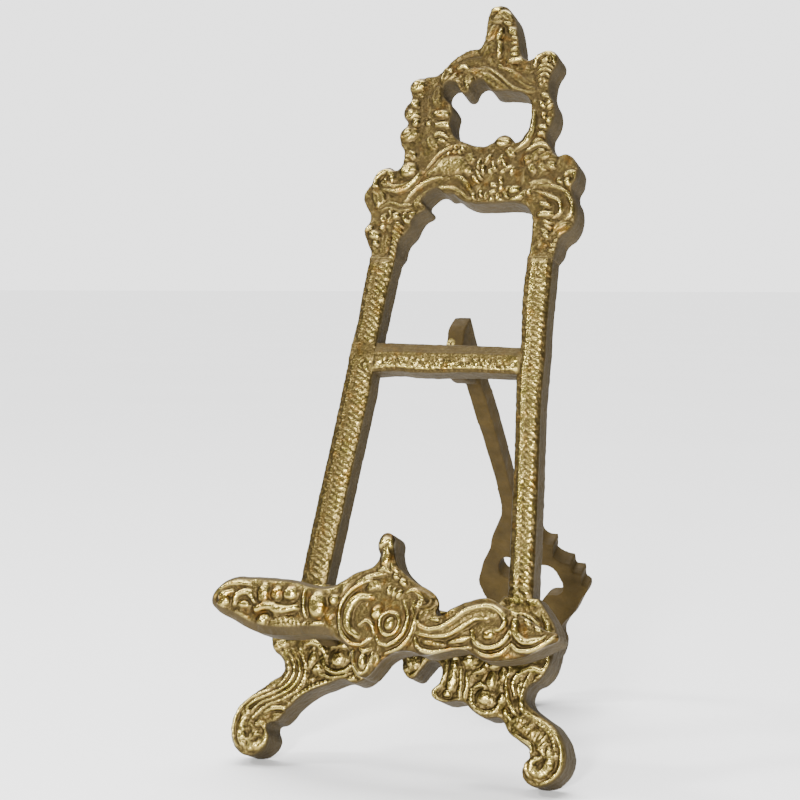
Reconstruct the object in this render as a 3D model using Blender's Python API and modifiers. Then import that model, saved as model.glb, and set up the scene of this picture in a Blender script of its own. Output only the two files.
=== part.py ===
"""Tabletop album stand: a leaning ornate brass frame with a ledge in front and a hinged rear leg.

Every casting is first drawn in the frame's own plane: X to the right, N back from the front face, V up
along the lean. The frame empty then tilts them all backwards, and the stand empty sets the whole stand
down with the middle of its footprint on the origin.
"""
import bpy
import bmesh
import math
from mathutils import Vector

MM = 0.001

# The stand as a whole.
LEAN = math.radians(20.3)
GROUND_Z = -130.4 * MM
FOOTPRINT_MIDDLE_X = -0.03 * MM
FOOTPRINT_MIDDLE_Y = 21.42 * MM
GAP = 0.3 * MM

# Thickness of each casting, and where its front face lies along N.
CREST_THICKNESS = 12.0 * MM
BAR_THICKNESS = 8.8 * MM
APRON_THICKNESS = 12.7 * MM
LEDGE_THICKNESS = 12.5 * MM
LEDGE_FRONT_N = -30.0 * MM

# Joint pins that hold the frame castings together.
JOINT_PIN_RADIUS = 1.4 * MM
JOINT_PIN_REACH = 6.0 * MM
JOINT_PIN_X = {                      # at the crest, the crossbar and the foot
    "right": (30.6 * MM, 27.35 * MM, 39.8 * MM),
    "left": (-33.2 * MM, -29.95 * MM, -40.8 * MM)}
CREST_SEAM_V = 56.05 * MM
CROSSBAR_PIN_V = 16.6 * MM
FOOT_SEAM_V = -70.85 * MM
PIN_SIDES = 20

# Arms between the apron and the ledge.
ARM_X = 30.0 * MM
ARM_WIDTH = 7.0 * MM
ARM_AXIS_V = -87.3 * MM
SCREW_RADIUS = 1.5 * MM
SCREW_HEAD_RADIUS = 3.2 * MM
SCREW_HEAD_HEIGHT = 2.0 * MM
SCREW_DEPTH_IN_ARM = 8.0 * MM

# Rear leg and its hinge.
LEG_X = -0.8 * MM
LEG_THICKNESS = 8.0 * MM
LEG_STRIP = 7.3 * MM
LEG_STRIP_COUNT = 22
KNUCKLE_X = -2.4 * MM
KNUCKLE_WIDTH = 6.6 * MM
HINGE_N = 17.0 * MM
HINGE_V = 19.0 * MM
HINGE_PIN_RADIUS = 1.5 * MM
HINGE_CLEARANCE = 0.1 * MM
EAR_THICKNESS = 2.6 * MM
EAR_GAP = 0.35 * MM

# Turns that lay a pin's or a cutter's axis along X, N or V of the leaning frame.
ALONG_X = (0, math.pi / 2, 0)
ALONG_N = (-math.pi / 2, 0, 0)
ALONG_V = (0, 0, 0)

SLAB_SIZE = 400 * MM

BRASS = (0.52, 0.40, 0.20)
AGED_BRASS = (0.27, 0.20, 0.10)
PIN_BRASS = (0.46, 0.35, 0.18)

# Outlines in millimetres. A point with a third entry is a sharp corner.
CREST_OUTLINE = [
    (-38.0, 56.2, 1), (-38.9, 59.5), (-41.0, 63.5), (-42.9, 68.0), (-40.8, 73.2), (-43.2, 77.5),
    (-45.2, 82.0), (-42.6, 87.6), (-40.3, 92.6), (-36.4, 94.2), (-33.0, 93.0), (-30.8, 99.5),
    (-33.2, 104.5), (-33.6, 108.6), (-31.4, 112.5), (-33.4, 115.4), (-33.6, 118.8), (-31.2, 122.5),
    (-32.6, 127.5), (-31.0, 131.0), (-27.5, 131.8), (-22.0, 132.6), (-16.5, 138.2), (-10.5, 142.2),
    (-5.2, 143.8), (-3.9, 149.0), (-3.8, 157.0), (-1.5, 160.4), (2.0, 161.0), (5.2, 158.8),
    (8.2, 153.2), (10.2, 146.0), (12.4, 139.4), (15.0, 137.3), (20.0, 139.4), (23.8, 140.8),
    (27.3, 137.6), (25.2, 130.0), (25.2, 124.0), (28.2, 118.0), (28.8, 112.5), (26.6, 105.4),
    (29.6, 99.8), (31.8, 97.4), (35.6, 97.8), (40.2, 93.6), (40.9, 87.6), (39.4, 83.6),
    (41.6, 78.4), (42.3, 72.0), (40.6, 67.0), (37.4, 64.2), (36.6, 60.5), (36.0, 56.2, 1),
    (25.6, 56.2, 1), (25.8, 66.0), (23.6, 75.8), (19.5, 78.3), (9.0, 78.6), (-1.0, 79.0),
    (-5.0, 80.6), (-8.4, 82.8), (-11.0, 82.8), (-15.0, 84.8), (-19.2, 82.2), (-20.4, 79.8),
    (-18.3, 77.0), (-21.4, 74.5), (-22.8, 72.3), (-24.3, 68.0), (-27.0, 64.5), (-27.4, 56.2, 1)]
CREST_HOLE = [
    (18.6, 118.5), (19.3, 112.0), (18.0, 106.6), (14.6, 103.2), (12.0, 105.6), (8.8, 106.4),
    (5.2, 103.4), (0.8, 101.9), (-5.0, 103.4), (-11.0, 106.6), (-13.6, 113.0), (-13.6, 118.6),
    (-18.6, 125.0), (-17.4, 129.0), (-13.8, 129.2), (-10.8, 125.0), (-8.4, 124.6), (-6.4, 128.8),
    (-3.6, 130.0), (-0.6, 127.8), (2.0, 125.2), (9.0, 124.6), (16.2, 122.6)]
LEFT_UPRIGHT_OUTLINE = [
    (-38.3, 55.9, 1), (-39.0, 50.0, 1), (-39.6, 30.0, 1), (-40.4, 20.0, 1), (-42.9, -20.0, 1),
    (-44.5, -40.0, 1), (-46.3, -70.7, 1), (-35.6, -70.7, 1), (-33.4, -40.0, 1), (-30.1, 4.0, 1),
    (-30.1, 28.0, 1), (-28.5, 50.0, 1), (-27.7, 55.9, 1)]
RIGHT_UPRIGHT_OUTLINE = [
    (35.7, 55.9, 1), (36.6, 30.0, 1), (37.4, 20.0, 1), (38.2, 0.0, 1), (40.1, -20.0, 1),
    (42.1, -40.0, 1), (44.6, -70.7, 1), (35.3, -70.7, 1), (30.8, -20.0, 1), (27.5, 10.0, 1),
    (27.5, 23.2, 1), (25.8, 40.0, 1), (25.5, 55.9, 1)]
CROSSBAR_OUTLINE = [
    (-29.8, 22.7, 1), (0.0, 22.2), (27.2, 21.6, 1), (27.2, 11.2, 1), (10.0, 11.6), (-12.0, 11.1),
    (-22.0, 11.7), (-29.8, 10.9, 1)]
APRON_OUTLINE = [
    (-47.0, -71.0, 1), (-34.0, -71.0, 1), (-30.0, -74.5), (-22.0, -76.8), (-12.0, -77.2),
    (0.0, -74.8), (12.0, -77.2), (22.0, -76.8), (30.0, -74.5), (34.0, -71.0, 1), (47.0, -71.0, 1),
    (50.4, -75.0), (54.4, -81.6), (54.4, -88.5), (53.0, -95.4), (50.4, -99.0), (46.9, -101.4),
    (46.6, -106.4), (51.6, -110.2), (58.0, -114.0), (62.4, -120.2), (63.6, -126.0),
    (60.6, -132.2), (54.4, -135.0), (49.4, -133.2), (48.2, -129.4), (50.6, -124.4),
    (46.6, -120.6), (41.6, -117.6), (38.0, -113.2), (32.4, -113.6), (27.4, -111.4),
    (23.4, -108.6), (15.4, -109.4), (11.2, -106.4), (13.8, -102.0), (13.4, -96.8), (9.4, -95.2),
    (6.4, -98.4), (3.0, -102.2), (-0.6, -99.8), (-2.4, -94.8), (-6.6, -93.4), (-11.2, -96.2),
    (-14.4, -103.0), (-19.0, -105.6), (-23.0, -104.6), (-30.0, -107.4), (-36.6, -110.6),
    (-42.6, -115.8), (-47.2, -121.6), (-50.6, -123.2), (-49.0, -128.2), (-51.6, -133.0),
    (-57.2, -135.0), (-63.0, -132.0), (-65.2, -125.6), (-64.0, -118.6), (-58.6, -112.8),
    (-51.8, -107.6), (-47.6, -103.6), (-48.6, -99.4), (-53.2, -95.8), (-54.4, -88.5),
    (-54.2, -81.6), (-50.4, -75.0)]
LEDGE_OUTLINE = [
    (-66.0, -84.6), (-64.2, -79.6), (-58.5, -75.6), (-50.0, -74.9), (-41.0, -74.8), (-33.0, -75.2),
    (-24.0, -76.6), (-17.4, -75.4), (-10.8, -71.2), (-4.4, -68.6), (-2.6, -65.2), (-3.8, -61.6),
    (-3.0, -57.8), (-0.8, -56.5), (1.6, -57.8), (2.5, -62.6), (4.6, -67.6), (10.4, -72.4),
    (16.2, -76.0), (18.0, -80.6), (22.0, -84.3), (26.2, -81.6), (34.0, -78.0), (39.0, -77.0),
    (46.0, -79.8), (54.0, -83.0), (60.8, -86.4), (66.0, -88.4), (62.0, -91.8), (55.0, -95.6),
    (47.6, -97.6), (40.0, -97.9), (33.4, -95.0), (26.5, -96.2), (19.0, -98.1), (12.8, -96.9),
    (4.8, -99.8), (1.6, -104.2), (-1.6, -107.3), (-5.0, -106.0), (-8.4, -99.2), (-14.0, -94.8),
    (-22.0, -93.7), (-37.0, -95.0), (-47.0, -94.2), (-56.0, -90.8), (-63.4, -87.6)]
ARM_PROFILE = [
    (-17.2, -82.2, 1), (-0.3, -82.2, 1), (-0.3, -93.4, 1), (-9.0, -91.6), (-17.2, -92.0, 1)]
EAR_PROFILE = [
    (8.4, 13.0, 1), (14.5, 14.4), (18.6, 15.0), (21.3, 19.0), (18.6, 23.0), (14.0, 22.6),
    (8.4, 19.0, 1)]
KNUCKLE_PROFILE = [
    (9.3, 26.0), (9.4, 31.0), (14.2, 37.6, 1), (26.0, 29.2), (33.6, 24.2, 1), (31.5, 17.0, 1),
    (27.0, 15.4), (22.0, 14.2), (16.0, 14.2), (10.9, 15.6), (9.4, 18.6)]

# Rear leg: its spine seen from the side (back, up), and its outline and opening (side, distance down).
# The pad is a leaf: lobed down its left edge and notched down its right one.
LEG_SPINE = [(33, 12), (65, -30), (88, -60), (101.5, -84), (103.3, -106), (91, -131.5)]
LEG_OUTLINE = [
    (2.5, 3.0, 1), (3.0, 30.0), (2.6, 62.0), (2.9, 70.0), (4.6, 78.0), (7.9, 86.0), (9.6, 90.8),
    (13.7, 91.8, 1), (12.4, 98.3, 1), (15.4, 100.6), (19.2, 101.6, 1), (19.2, 105.9, 1),
    (23.2, 106.3, 1), (22.2, 111.8, 1), (24.7, 113.2, 1), (24.3, 115.6), (21.9, 118.8),
    (17.4, 126.5), (13.5, 130.8), (11.8, 134.6), (13.2, 138.6), (12.8, 142.4), (11.2, 146.2),
    (7.6, 150.5), (3.6, 155.0), (1.9, 159.5), (1.6, 168.0, 1), (-1.6, 168.0, 1), (-1.9, 159.5),
    (-3.6, 155.0), (-7.6, 150.5), (-11.2, 146.2), (-12.8, 142.4), (-13.2, 138.6), (-11.8, 134.6),
    (-13.5, 130.8), (-17.0, 127.0), (-20.4, 122.6), (-22.2, 117.6), (-23.0, 113.4), (-21.2, 107.9),
    (-18.7, 102.0), (-15.1, 96.7), (-12.7, 89.8), (-9.2, 83.2), (-6.3, 78.4), (-4.0, 70.1),
    (-3.2, 60.0), (-3.1, 40.0), (-3.6, 3.0, 1)]
LEG_OPENING = [
    (0.0, 104.2), (6.4, 102.6), (9.8, 103.2), (11.9, 105.2), (13.2, 109.0), (14.2, 113.4),
    (13.2, 116.8), (11.0, 118.2), (8.5, 118.3), (6.2, 119.2), (3.6, 122.0), (2.8, 125.0),
    (1.0, 127.6), (-1.2, 127.2), (-2.6, 123.6), (-3.8, 118.2), (-6.0, 113.6), (-9.4, 111.2),
    (-12.2, 109.4), (-12.8, 106.6), (-11.6, 102.4), (-8.8, 99.6), (-5.0, 100.4)]


def clear_scene():
    for item in list(bpy.data.objects):
        bpy.data.objects.remove(item, do_unlink=True)


def make_collection(name):
    collection = bpy.data.collections.new(name)
    bpy.context.scene.collection.children.link(collection)
    return collection


def make_material(name, colour, roughness):
    material = bpy.data.materials.new(name)
    material.use_nodes = True
    shader = material.node_tree.nodes["Principled BSDF"]
    shader.inputs["Base Color"].default_value = (*colour, 1.0)
    shader.inputs["Metallic"].default_value = 1.0
    shader.inputs["Roughness"].default_value = roughness
    material.diffuse_color = (*colour, 1.0)
    return material


def add_spline(curve, points):
    """Add one closed smooth loop. Points are in millimetres; marked ones are sharp corners."""
    spline = curve.splines.new("BEZIER")
    spline.bezier_points.add(len(points) - 1)
    spline.use_cyclic_u = True
    spline.resolution_u = 4
    for knot, point in zip(spline.bezier_points, points):
        handle = "VECTOR" if len(point) == 3 else "AUTO"
        knot.handle_left_type = handle
        knot.handle_right_type = handle
        knot.co = Vector((point[0], point[1], 0.0)) * MM


def flat_plate(name, loops, thickness):
    """A flat outline, extruded about its own plane, as a closed mesh."""
    curve = bpy.data.curves.new(name, "CURVE")
    curve.dimensions = "2D"
    curve.fill_mode = "BOTH"
    curve.extrude = thickness / 2
    for loop in loops:
        add_spline(curve, loop)
    drawing = bpy.data.objects.new(name, curve)
    bpy.context.scene.collection.objects.link(drawing)
    depsgraph = bpy.context.evaluated_depsgraph_get()
    mesh = bpy.data.meshes.new_from_object(drawing.evaluated_get(depsgraph))
    bpy.data.objects.remove(drawing, do_unlink=True)
    bpy.data.curves.remove(curve)
    shape = bmesh.new()
    shape.from_mesh(mesh)
    bmesh.ops.remove_doubles(shape, verts=shape.verts, dist=0.00002)
    bmesh.ops.dissolve_degenerate(shape, edges=shape.edges, dist=0.00001)
    bmesh.ops.recalc_face_normals(shape, faces=shape.faces)
    shape.to_mesh(mesh)
    shape.free()
    mesh.name = name
    return mesh


def add_object(name, mesh, collection, parent=None, location=(0, 0, 0), rotation=(0, 0, 0)):
    piece = bpy.data.objects.new(name, mesh)
    collection.objects.link(piece)
    piece.parent = parent
    piece.location = location
    piece.rotation_euler = rotation
    return piece


def set_material(piece, material):
    piece.data.materials.clear()
    piece.data.materials.append(material)


def front_casting(name, loops, front_n, thickness, material):
    """A casting drawn face on, with its front face at front_n."""
    mesh = flat_plate(name, loops, thickness)
    turn = (math.pi / 2, 0, 0)
    piece = add_object(name, mesh, stand, frame, (0, front_n + thickness / 2, 0), turn)
    set_material(piece, material)
    return piece


def side_plate(name, profile, middle_x, width, collection):
    """A plate drawn from the side, N across and V up, with its thickness along X."""
    mesh = flat_plate(name, [profile], width)
    turn = (math.pi / 2, 0, math.pi / 2)
    return add_object(name, mesh, collection, frame, (middle_x, 0, 0), turn)


def turned(name, profile, collection, location, rotation):
    """A turned piece: its profile runs from the top of the axis to the bottom, radius then height."""
    mesh = bpy.data.meshes.new(name)
    edges = [(i, i + 1) for i in range(len(profile) - 1)]
    mesh.from_pydata([(radius, 0, height) for radius, height in profile], edges, [])
    piece = add_object(name, mesh, collection, frame, location, rotation)
    screw = piece.modifiers.new("turn", "SCREW")
    screw.steps = PIN_SIDES
    screw.render_steps = PIN_SIDES
    screw.use_merge_vertices = True
    screw.merge_threshold = 0.00002
    screw.use_smooth_shade = True
    return piece


def cut(piece, cutter, operation="DIFFERENCE"):
    boolean = piece.modifiers.new(cutter.name, "BOOLEAN")
    boolean.solver = "EXACT"
    boolean.operation = operation
    boolean.object = cutter


def hide_cutter(cutter):
    cutter.hide_render = True
    cutter.display_type = "WIRE"


def drill(pieces, name, radius, low, high, location, rotation):
    """Cut a round hole along the local Z axis, from low to high, through each piece."""
    profile = [(0, high), (radius, high), (radius, low), (0, low)]
    cutter = turned(name, profile, cutters, location, rotation)
    hide_cutter(cutter)
    for piece in pieces:
        cut(piece, cutter)


def joint_pin(name, pieces, location, rotation):
    """A plain round pin, half in each of two castings."""
    reach = JOINT_PIN_REACH
    radius = JOINT_PIN_RADIUS
    profile = [(0, reach), (radius, reach), (radius, -reach), (0, -reach)]
    pin = turned(name, profile, stand, location, rotation)
    set_material(pin, pin_brass)
    drill(pieces, name + "_hole", radius + GAP, -reach - GAP, reach + GAP, location, rotation)


def leg_frame(distance, samples):
    """Point on the leg's spine, and the direction across its thickness, a distance down from its top."""
    travelled = 0.0
    for start, end in zip(samples, samples[1:]):
        step = (end - start).length
        if travelled + step >= distance or end is samples[-1]:
            along = (end - start).normalized()
            point = start + along * (distance - travelled)
            return point, Vector((-along.y, along.x))
        travelled += step


def smooth_path(points, steps):
    """Points on a Catmull-Rom curve through the given points."""
    knots = [Vector(point) for point in points]
    knots = [2 * knots[0] - knots[1]] + knots + [2 * knots[-1] - knots[-2]]
    path = []
    for before, start, end, after in zip(knots, knots[1:], knots[2:], knots[3:]):
        for step in range(steps):
            t = step / steps
            linear = (end - before) * t
            square = (2 * before - 5 * start + 4 * end - after) * t ** 2
            cubic = (3 * start - before - 3 * end + after) * t ** 3
            path.append((2 * start + linear + square + cubic) / 2)
    path.append(knots[-2])
    return path


def bent_leg():
    """The leg's flat outline, cut into short strips and bent along its spine."""
    mesh = flat_plate("rear_leg", [LEG_OUTLINE, LEG_OPENING], LEG_THICKNESS)
    shape = bmesh.new()
    shape.from_mesh(mesh)
    for number in range(1, LEG_STRIP_COUNT + 1):
        geometry = shape.verts[:] + shape.edges[:] + shape.faces[:]
        cut_place = (0, number * LEG_STRIP, 0)
        bmesh.ops.bisect_plane(shape, geom=geometry, plane_co=cut_place, plane_no=(0, 1, 0))
    bmesh.ops.triangulate(shape, faces=shape.faces)
    samples = smooth_path(LEG_SPINE, 12)
    for vertex in shape.verts:
        point, across = leg_frame(vertex.co.y / MM, samples)
        place = point * MM + across * vertex.co.z
        vertex.co = (vertex.co.x, place.x, place.y)
    bmesh.ops.recalc_face_normals(shape, faces=shape.faces)
    shape.to_mesh(mesh)
    shape.free()
    return mesh


clear_scene()
stand = make_collection("photo_album_stand")
cutters = make_collection("cutters")
brass = make_material("antique_brass", BRASS, 0.38)
aged_brass = make_material("aged_brass", AGED_BRASS, 0.5)
pin_brass = make_material("pin_brass", PIN_BRASS, 0.42)

whole = add_object("whole_stand", None, stand, None, (-FOOTPRINT_MIDDLE_X, -FOOTPRINT_MIDDLE_Y, -GROUND_Z))
frame = add_object("leaning_frame", None, stand, whole, (0, 0, 0), (-LEAN, 0, 0))

# Frame castings.
crest = front_casting("crest", [CREST_OUTLINE, CREST_HOLE], 0, CREST_THICKNESS, brass)
apron = front_casting("leg_apron", [APRON_OUTLINE], 0, APRON_THICKNESS, brass)
uprights = {
    "right": front_casting("right_upright", [RIGHT_UPRIGHT_OUTLINE], 0, BAR_THICKNESS, brass),
    "left": front_casting("left_upright", [LEFT_UPRIGHT_OUTLINE], 0, BAR_THICKNESS, brass)}
crossbar = front_casting("crossbar", [CROSSBAR_OUTLINE], 0, BAR_THICKNESS, brass)

# Hinge ears behind the crossbar, one on each side of the leg.
ear_offset = KNUCKLE_WIDTH / 2 + EAR_GAP + EAR_THICKNESS / 2
for side in (-1, 1):
    ear = side_plate(f"ear_{side}", EAR_PROFILE, KNUCKLE_X + side * ear_offset, EAR_THICKNESS, cutters)
    hide_cutter(ear)
    cut(crossbar, ear, "UNION")

# Joint pins in the frame.
bar_middle_n = BAR_THICKNESS / 2
for side, upright in uprights.items():
    crest_x, crossbar_x, foot_x = JOINT_PIN_X[side]
    joint_pin(f"crest_pin_{side}", [crest, upright], (crest_x, bar_middle_n, CREST_SEAM_V), ALONG_V)
    joint_pin(f"foot_pin_{side}", [apron, upright], (foot_x, bar_middle_n, FOOT_SEAM_V), ALONG_V)
    crossbar_end = (crossbar_x, bar_middle_n, CROSSBAR_PIN_V)
    joint_pin(f"crossbar_pin_{side}", [crossbar, upright], crossbar_end, ALONG_X)

# The feet are filed flat where they stand.
slab_mesh = bpy.data.meshes.new("ground_slab")
slab_shape = bmesh.new()
bmesh.ops.create_cube(slab_shape, size=SLAB_SIZE)
slab_shape.to_mesh(slab_mesh)
slab_shape.free()
ground_slab = add_object("ground_slab", slab_mesh, cutters, None, (0, 0, -SLAB_SIZE / 2))
hide_cutter(ground_slab)
cut(apron, ground_slab)

# Ledge, its two arms, and what holds them.
ledge = front_casting("ledge", [LEDGE_OUTLINE], LEDGE_FRONT_N, LEDGE_THICKNESS, brass)
ledge_back = LEDGE_FRONT_N + LEDGE_THICKNESS
head_under = APRON_THICKNESS + GAP
screw_profile = [
    (0, head_under + SCREW_HEAD_HEIGHT),
    (SCREW_HEAD_RADIUS * 0.6, head_under + SCREW_HEAD_HEIGHT * 0.88),
    (SCREW_HEAD_RADIUS, head_under + SCREW_HEAD_HEIGHT * 0.4),
    (SCREW_HEAD_RADIUS, head_under),
    (SCREW_RADIUS, head_under),
    (SCREW_RADIUS, -SCREW_DEPTH_IN_ARM),
    (0, -SCREW_DEPTH_IN_ARM)]
for side, sign in (("left", -1), ("right", 1)):
    arm = side_plate(f"ledge_arm_{side}", ARM_PROFILE, sign * ARM_X, ARM_WIDTH, stand)
    set_material(arm, brass)
    axis_point = (sign * ARM_X, 0, ARM_AXIS_V)
    screw = turned(f"arm_screw_{side}", screw_profile, stand, axis_point, ALONG_N)
    set_material(screw, pin_brass)
    drill([apron, arm], f"arm_screw_hole_{side}", SCREW_RADIUS + GAP, -SCREW_DEPTH_IN_ARM - GAP,
          APRON_THICKNESS + 2 * MM, axis_point, ALONG_N)
    joint_pin(f"ledge_pin_{side}", [ledge, arm], (sign * ARM_X, ledge_back + GAP / 2, ARM_AXIS_V), ALONG_N)

# Rear leg: the bent casting joined to its knuckle, turning about the hinge.
hinge_y = HINGE_V * math.sin(LEAN) + HINGE_N * math.cos(LEAN)
hinge_z = HINGE_V * math.cos(LEAN) - HINGE_N * math.sin(LEAN)
leg_mesh = bent_leg()
for vertex in leg_mesh.vertices:
    vertex.co -= Vector((0, hinge_y, hinge_z))
rear_leg = add_object("rear_leg", leg_mesh, stand, whole, (LEG_X, hinge_y, hinge_z))
set_material(rear_leg, aged_brass)
knuckle = side_plate("knuckle", KNUCKLE_PROFILE, KNUCKLE_X, KNUCKLE_WIDTH, cutters)
hide_cutter(knuckle)
cut(rear_leg, knuckle, "UNION")
cut(rear_leg, ground_slab)

# Hinge pin, headed at one end and peened over at the other.
pin_half = ear_offset + EAR_THICKNESS / 2 + GAP
hinge_point = (KNUCKLE_X, HINGE_N, HINGE_V)
pin_profile = [
    (0, pin_half + 1.3 * MM),
    (1.7 * MM, pin_half + 0.9 * MM),
    (2.6 * MM, pin_half),
    (HINGE_PIN_RADIUS, pin_half),
    (HINGE_PIN_RADIUS, -pin_half),
    (2.2 * MM, -pin_half),
    (1.4 * MM, -pin_half - 0.8 * MM),
    (0, -pin_half - 1.0 * MM)]
hinge_pin = turned("hinge_pin", pin_profile, stand, hinge_point, ALONG_X)
set_material(hinge_pin, pin_brass)
drill([crossbar, rear_leg], "hinge_bore", HINGE_PIN_RADIUS + HINGE_CLEARANCE, -pin_half - MM, pin_half + MM,
      hinge_point, ALONG_X)
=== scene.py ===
"""Looks of the brass album stand: carved castings, aged-brass materials, studio and camera."""

import math

import bmesh
import bpy
import numpy as np
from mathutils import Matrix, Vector, kdtree


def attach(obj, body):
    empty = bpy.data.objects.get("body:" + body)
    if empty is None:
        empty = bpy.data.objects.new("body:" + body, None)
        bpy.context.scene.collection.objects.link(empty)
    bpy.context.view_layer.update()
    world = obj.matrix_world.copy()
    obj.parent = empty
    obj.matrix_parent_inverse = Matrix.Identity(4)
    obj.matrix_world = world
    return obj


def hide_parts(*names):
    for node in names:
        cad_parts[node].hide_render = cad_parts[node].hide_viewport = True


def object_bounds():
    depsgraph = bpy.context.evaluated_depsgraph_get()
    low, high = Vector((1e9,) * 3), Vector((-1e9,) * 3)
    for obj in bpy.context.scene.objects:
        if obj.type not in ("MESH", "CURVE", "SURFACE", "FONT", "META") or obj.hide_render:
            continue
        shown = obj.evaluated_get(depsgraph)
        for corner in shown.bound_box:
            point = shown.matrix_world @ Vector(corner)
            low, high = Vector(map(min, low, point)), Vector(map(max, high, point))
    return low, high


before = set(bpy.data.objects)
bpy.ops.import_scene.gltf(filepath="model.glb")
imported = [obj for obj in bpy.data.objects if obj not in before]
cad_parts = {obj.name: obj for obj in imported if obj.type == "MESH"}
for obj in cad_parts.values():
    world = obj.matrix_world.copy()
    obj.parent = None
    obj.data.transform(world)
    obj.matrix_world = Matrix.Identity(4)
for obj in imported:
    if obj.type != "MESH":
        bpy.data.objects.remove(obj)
cad_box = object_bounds()

# ---- sizes, in millimetres unless named
MM = 0.001
LEAN = math.radians(20.3)  # the front frame leans back by this angle
PLANE_ORIGIN = np.array([0.03, -21.42, 130.4])  # where the leaning plane's own origin lies
ACROSS = np.array([1.0, 0.0, 0.0])
BACKWARD = np.array([0.0, math.cos(LEAN), -math.sin(LEAN)])
UPWARD = np.array([0.0, math.sin(LEAN), math.cos(LEAN)])

CELL = 0.25  # spacing of the carving grid
GRID_MARGIN = 2.0
VOXEL = 0.42  # size of a casting's quads
BAR_VOXEL = 0.33  # the bars' pattern is finer
ROUGH_VOXEL = 0.5  # the rear leg has no carving
OUTLINE_STEP = 0.2  # spacing of the points that edge distances are taken to
TRACE_STEP = 0.3  # spacing of the points along a drawn form
CURVE_STEPS = 14  # points between two given ones of a smooth curve
SPIRAL_STEPS = 16  # points in a turn of a spiral
NOISE_CELLS = (67, 71)  # the noise repeats after so many features

BAR_THICKNESS = 8.8
THICKNESS = {"crest": 12.0, "leg_apron": 12.7, "ledge": 12.5, "left_upright": BAR_THICKNESS,
             "right_upright": BAR_THICKNESS, "crossbar": BAR_THICKNESS}
CROSSBAR_HEIGHT = 11.0
LUMPS = 0.35  # how uneven the ground of the carving is
LUMP_SIZE = 2.3
SOFTNESS = 0.28  # how far the carving is worn smooth
GRAIN_SIZE = 0.8
HOLLOW_REACH = 1.3  # hollows are judged against the height this far around
PLAIN_EDGE = 0.9  # the sides' dull brown comes this far round the edge
GROOVE_DEPTH = 0.5  # the groove round the foot of each form
GROOVE_WIDTH = 0.6
FULLNESS = 1.4  # how much wider a form is laid than its drawn width
OVAL_FULLNESS = 1.2
LOWEST = -2.5  # no hollow is lower than this
PROUD = 0.9  # how far the highest carving stands before the plate
EDGE_DROP = 0.4  # share of the edge rounding that the front keeps
BACK_DROP = 0.35  # and the back
BACK_UNEVEN = 0.15
SIDE_RIPPLE = 0.10  # unevenness of the sides
RIPPLE_SIZE = 2.2
BULGE = 0.12  # unevenness of the plain castings
BULGE_SIZE = 3.0
SEAM_TOLERANCE = 0.15  # an outline this close to a seam counts as on it
SEAM_REACH = 4.0  # a casting's end is drawn out over this length
SEAM_FADE = 1.6  # over this length the carving levels out at a joint
SEAM_SINK = 0.12
GILDED_SPOT = np.array([-4.6, -4.2, 150.4])  # a gilded trace on the front of the hinge knuckle
GILDED_REACH = 1.5

# Where the strips of a bar's pattern end, as shares of its width from the left or from the top.
UPRIGHT_BEVEL, UPRIGHT_LADDER, UPRIGHT_ROPE = 0.22, 0.43, 0.83
ROPE_MIDDLE, ROPE_HALF = 0.63, 0.20
CROSSBAR_BEVEL, CROSSBAR_LINES, CROSSBAR_STUDS = 0.36, 0.54, 0.90
BAND_V = 19.5  # a plain band on the left upright
BAND_HALF = 3.6


# ---- the leaning plane
def to_plane(points):
    """World metres to (across, backward, upward) millimetres in the leaning plane."""
    rel = points / MM - PLANE_ORIGIN
    return np.column_stack([rel @ ACROSS, rel @ BACKWARD, rel @ UPWARD])


def to_world(points):
    local = points[:, :1] * ACROSS + points[:, 1:2] * BACKWARD + points[:, 2:3] * UPWARD
    return (local + PLANE_ORIGIN) * MM


def coordinates(mesh):
    flat = np.empty(len(mesh.vertices) * 3)
    mesh.vertices.foreach_get("co", flat)
    return flat.reshape(-1, 3)


def place_points(mesh, world):
    """Moves a mesh's points to these places, kept within the CAD's own box."""
    low, high = (np.array(corner) for corner in cad_box)
    mesh.vertices.foreach_set("co", np.clip(world, low, high).ravel())


def node_mesh(node, leaning=True):
    """A welded copy of a CAD node's mesh, in millimetres."""
    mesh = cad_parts[node].data.copy()
    points = coordinates(mesh)
    points = to_plane(points) if leaning else points / MM
    mesh.vertices.foreach_set("co", points.ravel())
    welded = bmesh.new()
    welded.from_mesh(mesh)
    bmesh.ops.remove_doubles(welded, verts=welded.verts, dist=0.002)
    welded.to_mesh(mesh)
    welded.free()
    return mesh


def front_outline(mesh):
    """End points (across, upward) of the edges round a casting's flat front."""
    shape = bmesh.new()
    shape.from_mesh(mesh)
    shape.normal_update()
    front = min(v.co.y for v in shape.verts)
    flat = {f.index for f in shape.faces
            if f.normal.y < -0.99 and abs(f.calc_center_median().y - front) < 0.05}
    ends = [[(v.co.x, v.co.z) for v in e.verts] for e in shape.edges
            if sum(f.index in flat for f in e.link_faces) == 1]
    shape.free()
    return np.array(ends)


def remeshed(mesh, voxel):
    """The same solid as even quads, with soft edges."""
    carrier = bpy.data.objects.new("remesh_carrier", mesh)
    bpy.context.scene.collection.objects.link(carrier)
    modifier = carrier.modifiers.new("voxels", "REMESH")
    modifier.mode = "VOXEL"
    modifier.voxel_size = voxel
    evaluated = carrier.evaluated_get(bpy.context.evaluated_depsgraph_get())
    result = bpy.data.meshes.new_from_object(evaluated)
    bpy.data.objects.remove(carrier)
    return result


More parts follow.
